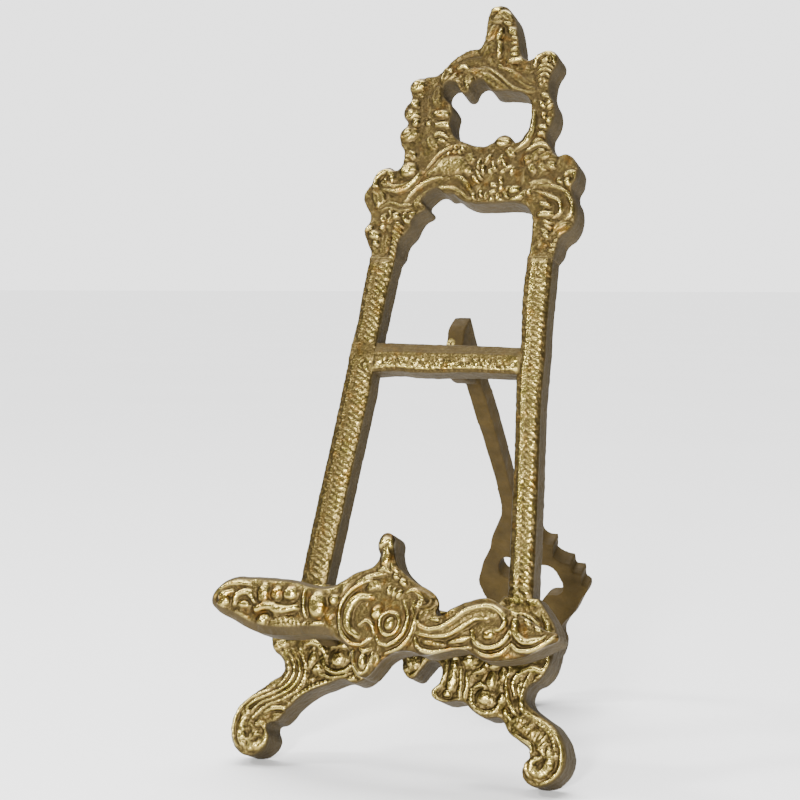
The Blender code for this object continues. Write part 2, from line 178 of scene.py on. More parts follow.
# ---- noise and smoothing
def value_noise(rng, across, upward, scale):
    """Smooth noise from -1 to 1 with features of about that many millimetres."""
    rows, columns = NOISE_CELLS
    table = rng.uniform(-1, 1, (rows, columns))
    u = across / scale
    v = upward / scale
    i = np.floor(u).astype(int)
    j = np.floor(v).astype(int)
    fu = u - i
    fv = v - j
    fu = fu * fu * (3 - 2 * fu)
    fv = fv * fv * (3 - 2 * fv)
    corner = [[table[(i + a) % rows, (j + b) % columns] for b in (0, 1)] for a in (0, 1)]
    low = corner[0][0] * (1 - fu) + corner[1][0] * fu
    high = corner[0][1] * (1 - fu) + corner[1][1] * fu
    return low * (1 - fv) + high * fv


def blurred(field, radius):
    """Gaussian blur of a grid, radius in millimetres."""
    reach = max(1, int(3 * radius / CELL))
    weights = np.exp(-0.5 * (np.arange(-reach, reach + 1) * CELL / radius) ** 2)
    weights /= weights.sum()
    for axis in (0, 1):
        padded = np.pad(field, [(reach, reach) if a == axis else (0, 0) for a in (0, 1)], "edge")
        size = field.shape[axis]
        parts = [w * padded.take(range(k, k + size), axis) for k, w in enumerate(weights)]
        field = sum(parts)
    return field


def smooth_path(points, step=TRACE_STEP):
    """Points at even steps along a smooth curve through the given ones, and the distance along it."""
    p = np.array(points, float)
    if len(p) > 2:
        p = np.vstack([2 * p[0] - p[1], p, 2 * p[-1] - p[-2]])
        t = np.linspace(0, 1, CURVE_STEPS, endpoint=False)[:, None]
        rows = [0.5 * (2 * b + (c - a) * t + (2 * a - 5 * b + 4 * c - d) * t * t
                       + (3 * b - a - 3 * c + d) * t ** 3)
                for a, b, c, d in zip(p[:-3], p[1:-2], p[2:-1], p[3:])]
        p = np.vstack(rows + [p[-2:-1]])
    lengths = np.concatenate([[0], np.cumsum(np.hypot(*np.diff(p, axis=0).T))])
    even = np.linspace(0, lengths[-1], max(3, int(lengths[-1] / step) + 1))
    return np.column_stack([np.interp(even, lengths, p[:, k]) for k in (0, 1)]), even


def straight(x, v, length, turn):
    """The two ends of a line through a point, turned by an angle in degrees."""
    across = 0.5 * length * math.cos(math.radians(turn))
    upward = 0.5 * length * math.sin(math.radians(turn))
    return [(x - across, v - upward), (x + across, v + upward)]


def spiral(x, v, radius, start, turns, inner=0.15):
    """Points of a spiral that starts at an angle in degrees and winds inward."""
    count = int(abs(turns) * SPIRAL_STEPS) + 4
    t = np.linspace(0, 1, count)
    angle = math.radians(start) + 2 * math.pi * turns * t
    r = radius * (1 - (1 - inner) * t ** 0.85)
    return np.column_stack([x + r * np.cos(angle), v + r * np.sin(angle)])


# ---- carving
class Carving:
    """Height of a casting's front above its ground, on a grid in the leaning plane."""

    def __init__(self, outline, seed, ground, seams):
        self.rng = np.random.default_rng(seed)
        low = outline.reshape(-1, 2).min(0) - GRID_MARGIN
        high = outline.reshape(-1, 2).max(0) + GRID_MARGIN
        self.low = low
        self.x = np.arange(low[0], high[0], CELL)
        self.v = np.arange(low[1], high[1], CELL)
        self.grid_x, self.grid_v = np.meshgrid(self.x, self.v, indexing="ij")
        self.inside = self.fill(outline)
        at_seam = np.zeros(len(outline), bool)
        for axis, place, _ in seams:
            at_seam |= (np.abs(outline[:, :, axis] - place) < SEAM_TOLERANCE).all(1)
        self.edge = self.edge_distance(outline[~at_seam])
        self.height = ground + LUMPS * self.noise(LUMP_SIZE)
        self.tone = np.zeros(self.grid_x.shape)  # painted light and shade, with a little mottling, added to the wear level: below 0 is darker
        self.grain = 0.10  # how coarse the skin of the casting is
        self.plain = np.clip(1 - self.edge / PLAIN_EDGE, 0, 1)  # 1 where it is brown like the sides
        self.flare = (0.0, 0.0, 1.0, 0.0)  # where the front spreads to the right, how wide, how far

    def noise(self, size):
        return value_noise(self.rng, self.grid_x, self.grid_v, size)

    def fill(self, outline):
        """Which grid points lie within the outline's loops."""
        inside = np.zeros(self.grid_x.shape, bool)
        a, b = outline[:, 0], outline[:, 1]
        for j, v in enumerate(self.v):
            hit = (a[:, 1] > v) != (b[:, 1] > v)
            p, q = a[hit], b[hit]
            crossings = np.sort(p[:, 0] + (v - p[:, 1]) * (q[:, 0] - p[:, 0]) / (q[:, 1] - p[:, 1]))
            for x0, x1 in zip(crossings[::2], crossings[1::2]):
                inside[(self.x >= x0) & (self.x <= x1), j] = True
        return inside

    def edge_distance(self, outline):
        """Distance to the outline inside it, and 0 outside."""
        samples = []
        for a, b in outline:
            count = max(1, int(np.hypot(*(b - a)) / OUTLINE_STEP))
            samples += [a + (b - a) * k / count for k in range(count)]
        tree = kdtree.KDTree(len(samples))
        for k, (x, v) in enumerate(samples):
            tree.insert((x, v, 0), k)
        tree.balance()
        distance = np.zeros(self.grid_x.shape)
        for i, j in zip(*np.nonzero(self.inside)):
            distance[i, j] = tree.find((self.x[i], self.v[j], 0))[2]
        return distance

    def window(self, points, reach):
        """The part of the grid within reach of the points."""
        low = np.maximum(0, ((points.min(0) - reach - self.low) / CELL).astype(int))
        high = ((points.max(0) + reach - self.low) / CELL).astype(int) + 2
        return slice(low[0], high[0]), slice(low[1], high[1])

    def lay(self, where, gap, height):
        """Puts a form there. gap is the distance outside its foot, negative within it."""
        held = self.height[where]
        foot = (gap > 0) * np.clip(1 - gap / GROOVE_WIDTH, 0, 1)
        held -= GROOVE_DEPTH * foot * foot
        lower = np.maximum(height, 0.35 * held)
        held[...] = np.where(gap <= 0, lower, held)

    def stroke(self, points, width, shape, taper=(0.5, 0.5)):
        """A form that follows a path. shape(u, s, side) is its height: u runs 0 to 1 from the
        middle to the side, s is the distance along and side the signed distance across."""
        width = FULLNESS * width
        path, along = smooth_path(points)
        where = self.window(path, width + 1)
        x = self.grid_x[where]
        v = self.grid_v[where]
        if x.size == 0:
            return
        tangent = np.gradient(path, axis=0)
        tangent /= np.maximum(1e-9, np.hypot(*tangent.T))[:, None]
        flat = np.column_stack([x.ravel(), v.ravel()])
        nearest = np.concatenate([
            ((part[:, None] - path[None]) ** 2).sum(2).argmin(1)
            for part in np.array_split(flat, max(1, flat.shape[0] // 4000))])
        offset = flat - path[nearest]
        run = (offset * tangent[nearest]).sum(1)
        side = tangent[nearest, 0] * offset[:, 1] - tangent[nearest, 1] * offset[:, 0]
        s = along[nearest] + run
        beyond = np.maximum(0, np.maximum(-s, s - along[-1]))
        share = np.clip(s / along[-1], 0, 1)
        half = 0.5 * width * np.interp(share, [0, 0.3, 0.7, 1], [taper[0], 1, 1, taper[1]])
        distance = np.hypot(side, beyond)
        u = np.minimum(1, distance / half)
        height = shape(u, s, side) * (0.55 + 0.45 * half / (0.5 * width))
        self.lay(where, (distance - half).reshape(x.shape), height.reshape(x.shape))

    def ridge(self, points, width, height, taper=(0.5, 0.5)):
        """A plain rounded moulding."""
        self.stroke(points, width, lambda u, s, side: height * (0.25 + 0.75 * np.sqrt(1 - u * u)), taper)

    def channel(self, points, width, height, taper=(0.6, 0.6)):
        """A moulding with two raised rims and a hollow between them."""
        def shape(u, s, side):
            rim = np.exp(-((u - 0.7) / 0.2) ** 2)
            return height * (0.42 + 0.58 * rim) * (1 - u ** 10)
        self.stroke(points, width, shape, taper)

    def reeds(self, points, width, height, count=3, taper=(0.6, 0.6)):
        """Parallel ridges side by side."""
        def shape(u, s, side):
            phase = count * (0.5 + 0.5 * u * np.sign(side))
            reed = 1 - (2 * (phase - np.floor(phase)) - 1) ** 2
            return height * (0.4 + 0.6 * np.sqrt(reed)) * (1 - 0.35 * u * u)
        self.stroke(points, width, shape, taper)

    def leaf(self, points, width, height, pitch=1.4, slant=1.0, taper=(0.35, 0.12)):
        """A leaf with a sunk vein and slanting flutes on both sides."""
        def shape(u, s, side):
            flute = 0.5 + 0.5 * np.cos(2 * math.pi * (s + slant * np.abs(side)) / pitch)
            vein = 1 - 0.35 * np.exp(-(side / 0.3) ** 2)
            return height * (0.3 + 0.7 * np.sqrt(1 - u * u)) * (0.68 + 0.32 * flute) * vein
        self.stroke(points, width, shape, taper)

    def cable(self, points, width, height, pitch, slant=0.6, taper=(0.9, 0.9)):
        """A twisted rope moulding: strands that cross it at a slant."""
        def shape(u, s, side):
            strand = np.abs(np.sin(math.pi * (s + slant * side) / pitch))
            return height * (0.3 + 0.7 * np.sqrt(1 - u * u)) * (0.45 + 0.55 * strand ** 0.7)
        self.stroke(points, width, shape, taper)

    def oval(self, x, v, length, width, turn, height, rim=0.0):
        """A domed oval boss, with a raised rim and a sunk ring if rim is not 0."""
        length, width = OVAL_FULLNESS * length, OVAL_FULLNESS * width
        where = self.window(np.array([[x, v]]), max(length, width) / 2 + 1.2 + rim * 2)
        dx = self.grid_x[where] - x
        dv = self.grid_v[where] - v
        c = math.cos(math.radians(turn))
        s = math.sin(math.radians(turn))
        along = (dx * c + dv * s) / (length / 2 + rim)
        side = (dv * c - dx * s) / (width / 2 + rim)
        u = np.hypot(along, side)
        size = (length + width) / 4 + rim
        gap = (u - 1) * size
        core = size - rim
        inner = np.minimum(1, u * size / core)
        dome = height * (0.2 + 0.8 * np.sqrt(1 - inner ** 2))
        if rim:
            dome = np.maximum(dome, 0.72 * height * np.exp(-((gap + rim / 2) / (0.42 * rim)) ** 2))
        self.lay(where, gap, dome)

    def bead(self, x, v, diameter, height, rim=0.0):
        self.oval(x, v, diameter, diameter, 0, height, rim)

    def volute(self, x, v, radius, start, turns, width, height, eye=1.6):
        """A scroll that winds into a round eye."""
        self.ridge(spiral(x, v, radius - width / 2, start, turns, 0.3), width, height, (0.9, 0.6))
        self.bead(x, v, eye, height * 0.95)

    def shell(self, x, v, radius, middle, sweep, ribs, height, inner=0.15):
        """Flutes that spread from a point, with a rounded outer edge."""
        where = self.window(np.array([[x, v]]), radius + 1)
        dx = self.grid_x[where] - x
        dv = self.grid_v[where] - v
        r = np.hypot(dx, dv) / radius
        angle = (np.degrees(np.arctan2(dv, dx)) - middle + 180) % 360 - 180
        part = angle / sweep
        flute = np.abs(np.cos(math.pi * ribs * part))
        scallop = 1 - 0.07 * (1 - flute)
        rise = np.clip((r - inner) * 3, 0, 1) * np.sqrt(np.clip(1 - (r / scallop) ** 6, 0, 1))
        gap = np.maximum((r - scallop) * radius, (np.abs(part) - 0.5) * math.radians(sweep) * r * radius)
        self.lay(where, gap, height * (0.35 + 0.65 * rise) * (0.5 + 0.5 * flute))

    def roughen(self, x, v, radius, amount=0.5):
        """Breaks up a round patch with small lumps."""
        lumps = self.noise(0.95)
        near = np.clip(2 - 2 * np.hypot(self.grid_x - x, self.grid_v - v) / radius, 0, 1)
        self.height += amount * lumps * near

    def shade(self, x, v, reach_x, reach_v, amount):
        """Paints light or shade on an oval patch: paler, or darker with painted shade if the amount is
        negative.
        """
        self.tone += amount * np.exp(-((self.grid_x - x) / reach_x) ** 2 - ((self.grid_v - v) / reach_v) ** 2)

    def rough(self):
        """Softens the carving and adds the grain of the mould."""
        grain = self.noise(GRAIN_SIZE)
        self.height = blurred(self.height, SOFTNESS) + self.grain * grain
        # darker in the hollows for their patina, plus the painted light and shade of the tone
        self.patina_and_painted_light = self.height - blurred(self.height, HOLLOW_REACH) + self.tone

    def sample(self, field, x, v):
        """The field's value at any point, between grid points."""
        u = np.clip((x - self.low[0]) / CELL, 0, field.shape[0] - 1.001)
        w = np.clip((v - self.low[1]) / CELL, 0, field.shape[1] - 1.001)
        i, j = u.astype(int), w.astype(int)
        fu, fw = u - i, w - j
        return ((field[i, j] * (1 - fu) + field[i + 1, j] * fu) * (1 - fw)
                + (field[i, j + 1] * (1 - fu) + field[i + 1, j + 1] * fu) * fw)


def add_piece(name, mesh, material, body, slot, *replaced):
    piece = bpy.data.objects.new(name, mesh)
    bpy.context.scene.collection.objects.link(piece)
    mesh.materials.clear()
    mesh.materials.append(material)
    mesh.shade_smooth()
    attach(piece, body)
    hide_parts(*replaced)


def set_values(mesh, name, values):
    attribute = mesh.attributes.new(name, "FLOAT", "POINT")
    attribute.data.foreach_set("value", np.asarray(values, np.float32))


def carved_casting(node, carve, seed, relief, edge_radius, material, voxel=VOXEL, ground=0.9, seams=()):
    """Remakes a flat CAD casting as even quads and presses the carving into its front.
    A seam is (0 for across or 1 for upward, where it is, how far the end runs past it)."""
    flat = node_mesh(node)
    outline = front_outline(flat)
    carving = Carving(outline, seed, ground, seams)
    carve(carving)
    carving.rough()
    mesh = remeshed(flat, voxel)
    points = coordinates(mesh)
    front = points[:, 1].min()
    thickness = THICKNESS[node]
    x, n, v = points.T
    depth = (n - front) / thickness
    edge = carving.sample(carving.edge, x, v)
    height = np.clip(carving.sample(carving.height, x, v), LOWEST, relief)
    share = np.clip(1 - edge / edge_radius, 0, 1)
    rounding = edge_radius * (1 - np.sqrt(1 - share ** 2))
    sunk = relief - PROUD - height + EDGE_DROP * rounding
    for axis, place, push in seams:
        level = np.clip(1.4 - np.abs((x, v)[axis] - place) / SEAM_FADE, 0, 1)
        sunk += (SEAM_SINK * abs(push) - sunk) * level
    lifted = BACK_DROP * rounding + BACK_UNEVEN * (1 + value_noise(carving.rng, x, v, 6.0))
    within = depth <= 1.0
    moved = front + sunk + depth * (thickness - sunk - lifted)
    side_shift = SIDE_RIPPLE * value_noise(carving.rng, v, n, RIPPLE_SIZE)
    flare_x, flare_v, flare_reach, flare_push = carving.flare
    spread = np.exp(-((x - flare_x) ** 2 + (v - flare_v) ** 2) / flare_reach ** 2)
    side_shift += flare_push * spread * np.clip(1 - depth, 0, 1)
    points[:, 2] += SIDE_RIPPLE * value_noise(carving.rng, x, n, RIPPLE_SIZE)
    points[:, 0] += side_shift
    points[:, 1] = np.where(within, moved, n)
    for axis, place, push in seams:
        near = np.clip(1 - np.abs((x, v)[axis] - place) / SEAM_REACH, 0, 1)
        near = near * near * (3 - 2 * near)
        points[:, 2 * axis] += push * near
        thinner = max(0.0, thickness - BAR_THICKNESS) / thickness
        points[:, 1] -= np.clip(depth, 0, 1) * thickness * thinner * near
    place_points(mesh, to_world(points))
    faced = np.clip(1 - depth * 4, 0, 1) * (1 - carving.sample(carving.plain, x, v))
    # the hollows' patina together with the painted light and shade goes to the material
    set_values(mesh, "patina_and_painted_light", carving.sample(carving.patina_and_painted_light, x, v) * faced)
    set_values(mesh, "front", faced)
    mesh.update()
    add_piece(node + "_carved", mesh, material, "frame", "antique_brass", node)


# ---- crest ornament
def carve_finial(c):
    c.leaf([(1, 138.5), (-1.4, 144), (-1, 151), (0.5, 157)], 7, 1.5, 2, 0.9, (0.8, 0.5))
    c.ridge([(2.6, 138.6), (3.1, 142), (2.2, 146)], 2.2, 2, (0.4, 0.6))
    c.reeds([(-2.6, 146.5), (-0.8, 149), (0.8, 153.5)], 3.4, 1.9, 2, (0.5, 0.4))
    c.ridge([(1, 146.5), (2.3, 148.6), (2.5, 151.4)], 1.8, 2.2, (0.5, 0.4))
    c.oval(2.6, 155.2, 8.4, 3.4, 16, 1.8)
    c.reeds([(-0.6, 155.4), (2.6, 157.2), (6.4, 154.2)], 3, 2.2, 2, (0.5, 0.4))
    c.oval(4.8, 153, 4.4, 2, -18, 2)
    c.oval(-0.8, 159.3, 4.6, 2.2, 4, 2.2)
    for x, v, length, width, turn in ((7.4, 149.6, 5.4, 3.2, -38), (8.9, 146.6, 3.8, 1.4, -12),
                                      (8.8, 144.6, 3.4, 1.4, 4), (9, 142.1, 3.6, 1.6, 26),
                                      (9.2, 139.8, 3.4, 1.2, 14), (9.8, 137.4, 6.2, 2, 9)):
        c.oval(x, v, length, width, turn, 2.1)


def carve_arch(c):
    """The band over the opening: a fluted crescent, a fan and long sweeping leaves."""
    c.cable([(-17.5, 137.5), (-13.5, 140.6), (-8.8, 142.2), (-4.8, 142.4)], 3.2, 1.5, 1.7, -0.8, (0.5, 0.8))
    c.ridge([(-15.5, 135.6), (-9, 137.6), (-2, 137.6), (5, 136.4)], 3, 1)
    c.shell(-20.5, 126.5, 9.6, 42, 84, 5, 1.9, 0.1)
    c.reeds([(-9.5, 133.6), (-4, 132.4), (1.5, 130.4), (5.6, 127.4), (9.5, 124.6), (14, 123.2)],
            4.6, 1.9, 3, (0.4, 0.5))
    c.channel([(-4.6, 136.2), (1.4, 134.8), (6, 131.8), (10.2, 128.2), (15, 125.4), (19, 124.4)],
              3.6, 2.2, (0.35, 0.5))
    c.ridge([(2, 134.6), (8, 133.2), (13, 129.8), (17.6, 127)], 1.6, 1.6, (0.3, 0.4))
    c.leaf([(-8.6, 131.6), (-7.6, 128.6), (-6.6, 125.2)], 3.4, 2.2, 1, 0.3, (0.6, 0.4))
    c.oval(-4.2, 131.4, 3.2, 1.4, -20, 1.6)
    c.oval(-16.4, 134, 2.6, 1.8, 0, 2.1)
    c.ridge([(-13.6, 134.6), (-11.2, 135.6), (-8.8, 134.8)], 1.5, 2)


def carve_right_leaf(c):
    c.ridge([(18, 134.5), (19.4, 138.4), (22.6, 139.6), (25.6, 138), (26, 135.6)], 1.9, 2.1, (0.5, 0.6))
    c.oval(22.4, 136.6, 4.6, 2.6, 36, 2.1)
    for v, length in ((134.2, 6.4), (132.4, 6.2), (130.4, 5.4), (128.6, 4.4), (126.8, 3.2)):
        half = length / 2
        c.ridge([(22.6 - half, v - 0.9), (22.6, v + 0.7), (22.6 + half, v - 0.5)], 1.25, 1.9)
    c.oval(23, 128.4, 2, 2.6, 0, 1.7)
    for x, v, length, turn in ((24.6, 121.8, 5.4, -22), (26.2, 119.4, 4, 40), (26.6, 117.4, 3.4, 34),
                               (23.4, 118.4, 4, -50), (24.8, 113.4, 4.2, -60)):
        c.oval(x, v, length, 1.7, turn, 2)
    c.bead(27, 111.6, 2.4, 2.3)
    c.oval(24.8, 109, 4.2, 1.8, -8, 2.2)
    c.oval(24.6, 106.4, 4, 1.7, 6, 2.1)
    c.ridge([(15.2, 100.2), (18.2, 102.4), (20.3, 105.8), (21, 110.4), (20.6, 116)], 2.2, 1.9, (0.5, 0.4))
    c.ridge([(21, 102.2), (23.6, 103.6), (26.6, 102.6)], 1.5, 1.9)


def carve_left_lobes(c):
    """Leafy knobs down the outer left side and the stack of small leaves beside the opening."""
    c.leaf([(-25.2, 99), (-25.6, 106), (-24.6, 113), (-25.6, 120), (-24.8, 127)], 2, 1.2, 2.4, 1.2)
    for x, v, size, turn in ((-29.4, 128.2, 6.2, 20), (-29.6, 120.2, 4.6, 50), (-29.8, 116, 6, -20),
                             (-30.2, 107.8, 7.4, 15), (-27.8, 112.6, 3.6, 70)):
        c.oval(x, v, size, 0.8 * size, turn, 2.2)
        c.oval(x - 0.6, v + 0.9, 0.55 * size, 0.28 * size, turn + 20, 2.5)
    for points in ([(-29.6, 100.2), (-27, 99.6), (-25.6, 97.4)], [(-30.6, 98.6), (-28, 98.2), (-26.4, 96.4)],
                   [(-30.8, 96.8), (-28.8, 96.6), (-27.2, 95.2)]):
        c.ridge(points, 1.2, 1.9)
    c.oval(-27.8, 92.8, 6.6, 6, 0, 2.4)
    c.leaf([(-19.2, 118.6), (-20.6, 122.6), (-20.4, 127.2)], 3.4, 1.8, 1.3, 0.7, (0.5, 0.5))
    for boss in ((-17.6, 115.8, 6.6, 3.2, -6, 2.2), (-18.2, 115.2, 3.4, 1.2, -6, 2.6),
                 (-16.2, 111.2, 7.4, 3, -4, 2.2), (-22.4, 112, 2.6, 2, 0, 1.8)):
        c.oval(*boss)
    c.ridge([(-20.4, 105.6), (-17.4, 107.6), (-13.6, 106)], 1.6, 2.2)
    c.oval(-16.6, 104.8, 4.8, 1.8, -6, 1.9)
    c.leaf([(-21.4, 107), (-19.6, 103.6), (-16.6, 100.8)], 3.6, 2, 1.3, 0.6)


def carve_lower_band(c):
    """The scrolled band under the opening, left to right."""
    c.volute(-36.8, 88.6, 6.2, 250, -1.1, 2.2, 2.1, 2.4)
    c.reeds([(-40.6, 84), (-38.4, 81.4), (-38, 78.2)], 3.8, 1.9, 3)
    c.ridge([(-37, 91.4), (-36.4, 88), (-33.4, 86), (-29, 86), (-25.4, 88.8), (-22.6, 92.4)],
            1.5, 2.2, (0.4, 0.4))
    c.ridge([(-37.4, 84.8), (-31.4, 84.2), (-27.2, 85.6), (-23.4, 89.8), (-20, 93.2)], 2, 2)
    c.channel([(-26.2, 79.2), (-22.6, 83.2), (-18, 86), (-13, 87.2), (-8, 87), (-4.2, 84.6),
               (-1, 81.4)], 4.8, 2.1, (0.6, 0.5))
    c.ridge([(-18.4, 89.6), (-12, 90.4), (-6.6, 89.6), (-2.6, 86.6), (-0.2, 83.4)], 1.3, 1.9, (0.3, 0.4))
    c.ridge([(-18.6, 91.2), (-13.2, 94), (-7.6, 94), (-2.6, 91.6)], 6.4, 2.2, (0.35, 0.35))
    c.channel([(-21.6, 90.4), (-18.4, 94.6), (-15, 98.6), (-10.6, 101), (-6, 101.2), (-2.4, 98.8)],
              2.6, 2.1, (0.5, 0.5))
    for k, (x, v) in enumerate(((-12, 99), (-9.8, 99.6), (-7.6, 99.4), (-9.6, 101.6), (-6.6, 101.2))):
        c.oval(x, v, 1.9, 1.3, 50 - 30 * k, 2.4)
    c.leaf([(-5.4, 98.6), (-3.2, 97.2), (-1.6, 94.2)], 2.6, 1.9, 1, 0.6)
    for x, v, turn in ((1, 94.6, 80), (3, 92.4, 100), (4.4, 96.4, 60), (7.2, 93.6, 115), (9.4, 96.2, 60),
                       (1.4, 90.2, 130), (0.4, 88.2, 140)):
        c.oval(x, v, 4.6, 1.6, turn, 2.1)
    c.bead(6.2, 91.4, 2.2, 2.3)
    for x, v, turn in ((11.4, 91.6, 40), (13.2, 92.8, 20), (15, 91.4, 65), (11, 94.8, 120)):
        c.oval(x, v, 3.8, 1.4, turn, 2)
    for k in range(6):
        angle = math.radians(100 + 52 * k)
        c.oval(11.4 + 3.4 * math.cos(angle), 84.2 + 3 * math.sin(angle), 4.2, 2.2,
               math.degrees(angle), 1.9)
    c.bead(11.4, 84.2, 2.4, 2.2)
    c.oval(16.8, 83.6, 4.4, 3.2, 10, 2.4)
    c.ridge([(15.6, 79.6), (19, 80.4), (21.4, 83.2)], 1.6, 2.1)
    c.oval(22.8, 82.6, 2.6, 1.8, 60, 2)
    for x, v, turn in ((0.6, 81.4, 110), (3.4, 82.4, 100), (5.6, 81.6, 80), (8.2, 80.2, 60),
                       (11.6, 79.6, 20)):
        c.oval(x, v, 3, 1.3, turn, 1.9)
    c.oval(9.6, 103.6, 6, 3.6, -8, 1.9)
    c.ridge([(7, 102.8), (9.6, 102), (12, 102.4)], 1.2, 2.3)
    c.leaf([(10.8, 100.6), (13, 99.2), (15.2, 97.4)], 2.8, 2.1, 1, 0.7)


def carve_shell_and_right_corner(c):
    c.bead(25.8, 95.4, 11.4, 1.6)
    for x, v, length, turn in ((20.6, 95.6, 6, 112), (23.4, 97.6, 6.4, 68), (27.4, 97.2, 6.4, 24),
                               (22.6, 92.4, 5.4, 140), (26.6, 92.8, 5.6, 158), (30, 93.4, 5, -30)):
        c.leaf(straight(x, v, length, turn), 2.2, 2.3, 1.2, 0.5)
    c.ridge([(19.6, 99.4), (22.4, 101.2), (26, 101.8), (29.4, 100.6)], 1.6, 2.2)
    c.oval(25.6, 99.4, 3.4, 1.4, 0, 2.3)
    c.volute(38, 88, 5, 190, 1.2, 1.9, 2, 2.2)
    c.reeds([(23.6, 86.2), (28.4, 85.4), (33, 83.6), (37, 84.4)], 3.6, 2.1, 3, (0.5, 0.5))
    c.oval(37.6, 86.4, 3, 4, 20, 2.2)
    c.channel([(25.4, 84), (31, 83), (35.8, 81), (38.2, 77.4), (37.6, 73.2), (34.4, 71.2)], 4.6, 2.2,
              (0.5, 0.6))
    c.ridge([(36.8, 81.6), (40.2, 78.4), (40.6, 74), (38.4, 71)], 1.3, 1.8)
    c.oval(30.6, 73.6, 6.2, 2.6, 0, 2.4)
    c.oval(29.8, 77.6, 5, 1.6, -16, 1.9)
    for k in range(4):
        c.oval(31.2 + 0.7 * (k % 2), 70.6 - 1.9 * k, 4.2, 1.5, -22, 2)
    c.leaf([(34.6, 65.4), (37.2, 67.4), (40.4, 69.6)], 5, 2.2, 1.2, 0.9, (0.5, 0.4))
    for boss in ((37, 63.4, 5.2, 1.4, 16, 1.9), (35.8, 61.4, 5, 1.4, 12, 1.9),
                 (35.2, 59.4, 4.6, 1.4, 10, 1.9)):
        c.oval(*boss)


def carve_left_corner(c):
    c.channel([(-37.4, 76.6), (-33.6, 78.2), (-29, 77), (-24.6, 77.4), (-21.4, 75.6)], 2.6, 2)
    c.volute(-24, 73.2, 3.6, 150, 1.1, 1.5, 2.1, 1.8)
    c.leaf([(-24, 78.8), (-19.6, 80.2), (-15.6, 78.4)], 3.4, 2.1, 1.3, 0.7)
    c.volute(-34.4, 73.2, 3.4, 60, -1, 1.4, 1.9, 1.6)
    for boss in ((-30.2, 73.6, 3.6, 3, 60, 2.1), (-40.8, 68.6, 3.4, 2.4, 30, 2.2),
                 (-38, 66, 5.2, 3.6, -30, 2.3), (-36.6, 62.6, 4.2, 2.2, -20, 2),
                 (-35.2, 69.6, 3.6, 2, 60, 1.8)):
        c.oval(*boss)
    c.cable([(-28.6, 57), (-28.8, 63), (-29, 70)], 3.6, 2, 2.1, -0.55)
    c.leaf([(-33.4, 57), (-33.2, 63), (-33.6, 68)], 3.6, 1.5, 1.1, 0.2)


def carve_crest(c):
    carve_arch(c)
    carve_finial(c)
    carve_right_leaf(c)
    carve_left_lobes(c)
    carve_lower_band(c)
    carve_shell_and_right_corner(c)
    carve_left_corner(c)
    c.grain = 0.13
    # Painted light and shade: the arch's top, the valleys, the inner sides of the opening and the places
    # under and between forms are darkened as painted shade, and two smooth bosses are made paler as painted
    # light.
    for patch in ((-8, 139.4, 9, 2.6, -0.30), (-24.6, 116, 1.8, 12, -0.28), (-20.4, 126, 3.6, 4, -0.22),
                  (20.6, 125, 2.2, 7, -0.22), (4, 99.4, 6, 2.2, -0.25), (17.2, 95, 2.2, 6, -0.22),
                  (30, 88.6, 6, 1.8, -0.28), (-11, 94.4, 6, 2.6, 0.22), (12, 128.6, 6, 3, -0.14),
                  (-23, 95.6, 1.8, 5, -0.24), (-28, 92.8, 2.6, 2.6, 0.14), (3.2, 151, 1.6, 5, -0.10)):
        c.shade(*patch)


# ---- ledge ornament
def carve_ledge_left(c):
    c.ridge([(-64.4, -83.4), (-61.8, -79.8), (-57, -78), (-51.6, -78), (-48.2, -79.6)], 1.5, 1.7)
    c.ridge([(-57.2, -80.8), (-60.8, -82.8), (-59.4, -84.6), (-61.4, -86.8), (-58.8, -88)], 2.9, 2.4)
    c.ridge([(-56, -85.6), (-54.8, -81.8), (-50.8, -80.8), (-48.2, -84)], 2, 2.3)
    c.oval(-52, -85.2, 4.6, 2.6, -8, 2.1)
    c.ridge([(-57, -89), (-52, -90.2), (-47.6, -91.8)], 2.4, 1.7)
    for boss in ((-44.6, -81.2, 4.4, 7.6, 6, 2.4), (-39.8, -80.6, 4.2, 4.8, 0, 2.1),
                 (-34.4, -80.2, 5, 4.6, -8, 2.3)):
        c.oval(*boss)
    c.ridge([(-46.6, -86.6), (-42, -85.2), (-37.4, -86.4), (-31.6, -85.2)], 3, 2.7, (0.7, 0.6))
    c.oval(-42.8, -91, 5.6, 5.4, 20, 2.6)
    c.leaf([(-39.4, -91.8), (-34.8, -90.8), (-30.2, -91.4)], 4.4, 2.3, 1.7, 0.1, (0.8, 0.7))
    c.oval(-38.8, -88.8, 3, 1, -8, 2)
    c.ridge([(-28.8, -78.4), (-28.4, -83.6), (-27, -88.4)], 1.3, 2.4)
    c.oval(-23.4, -83.6, 6, 8.4, 6, 2.6)
    c.oval(-27.2, -91.8, 2, 3.6, -10, 2.4)
    c.ridge([(-25, -92.8), (-23.6, -90.6), (-20.2, -89.8)], 1.4, 2.4)
    c.bead(-17.2, -81.4, 3.4, 2.2)
    c.roughen(-50, -85, 16, 0.25)
    c.roughen(-34, -85, 12, 0.25)


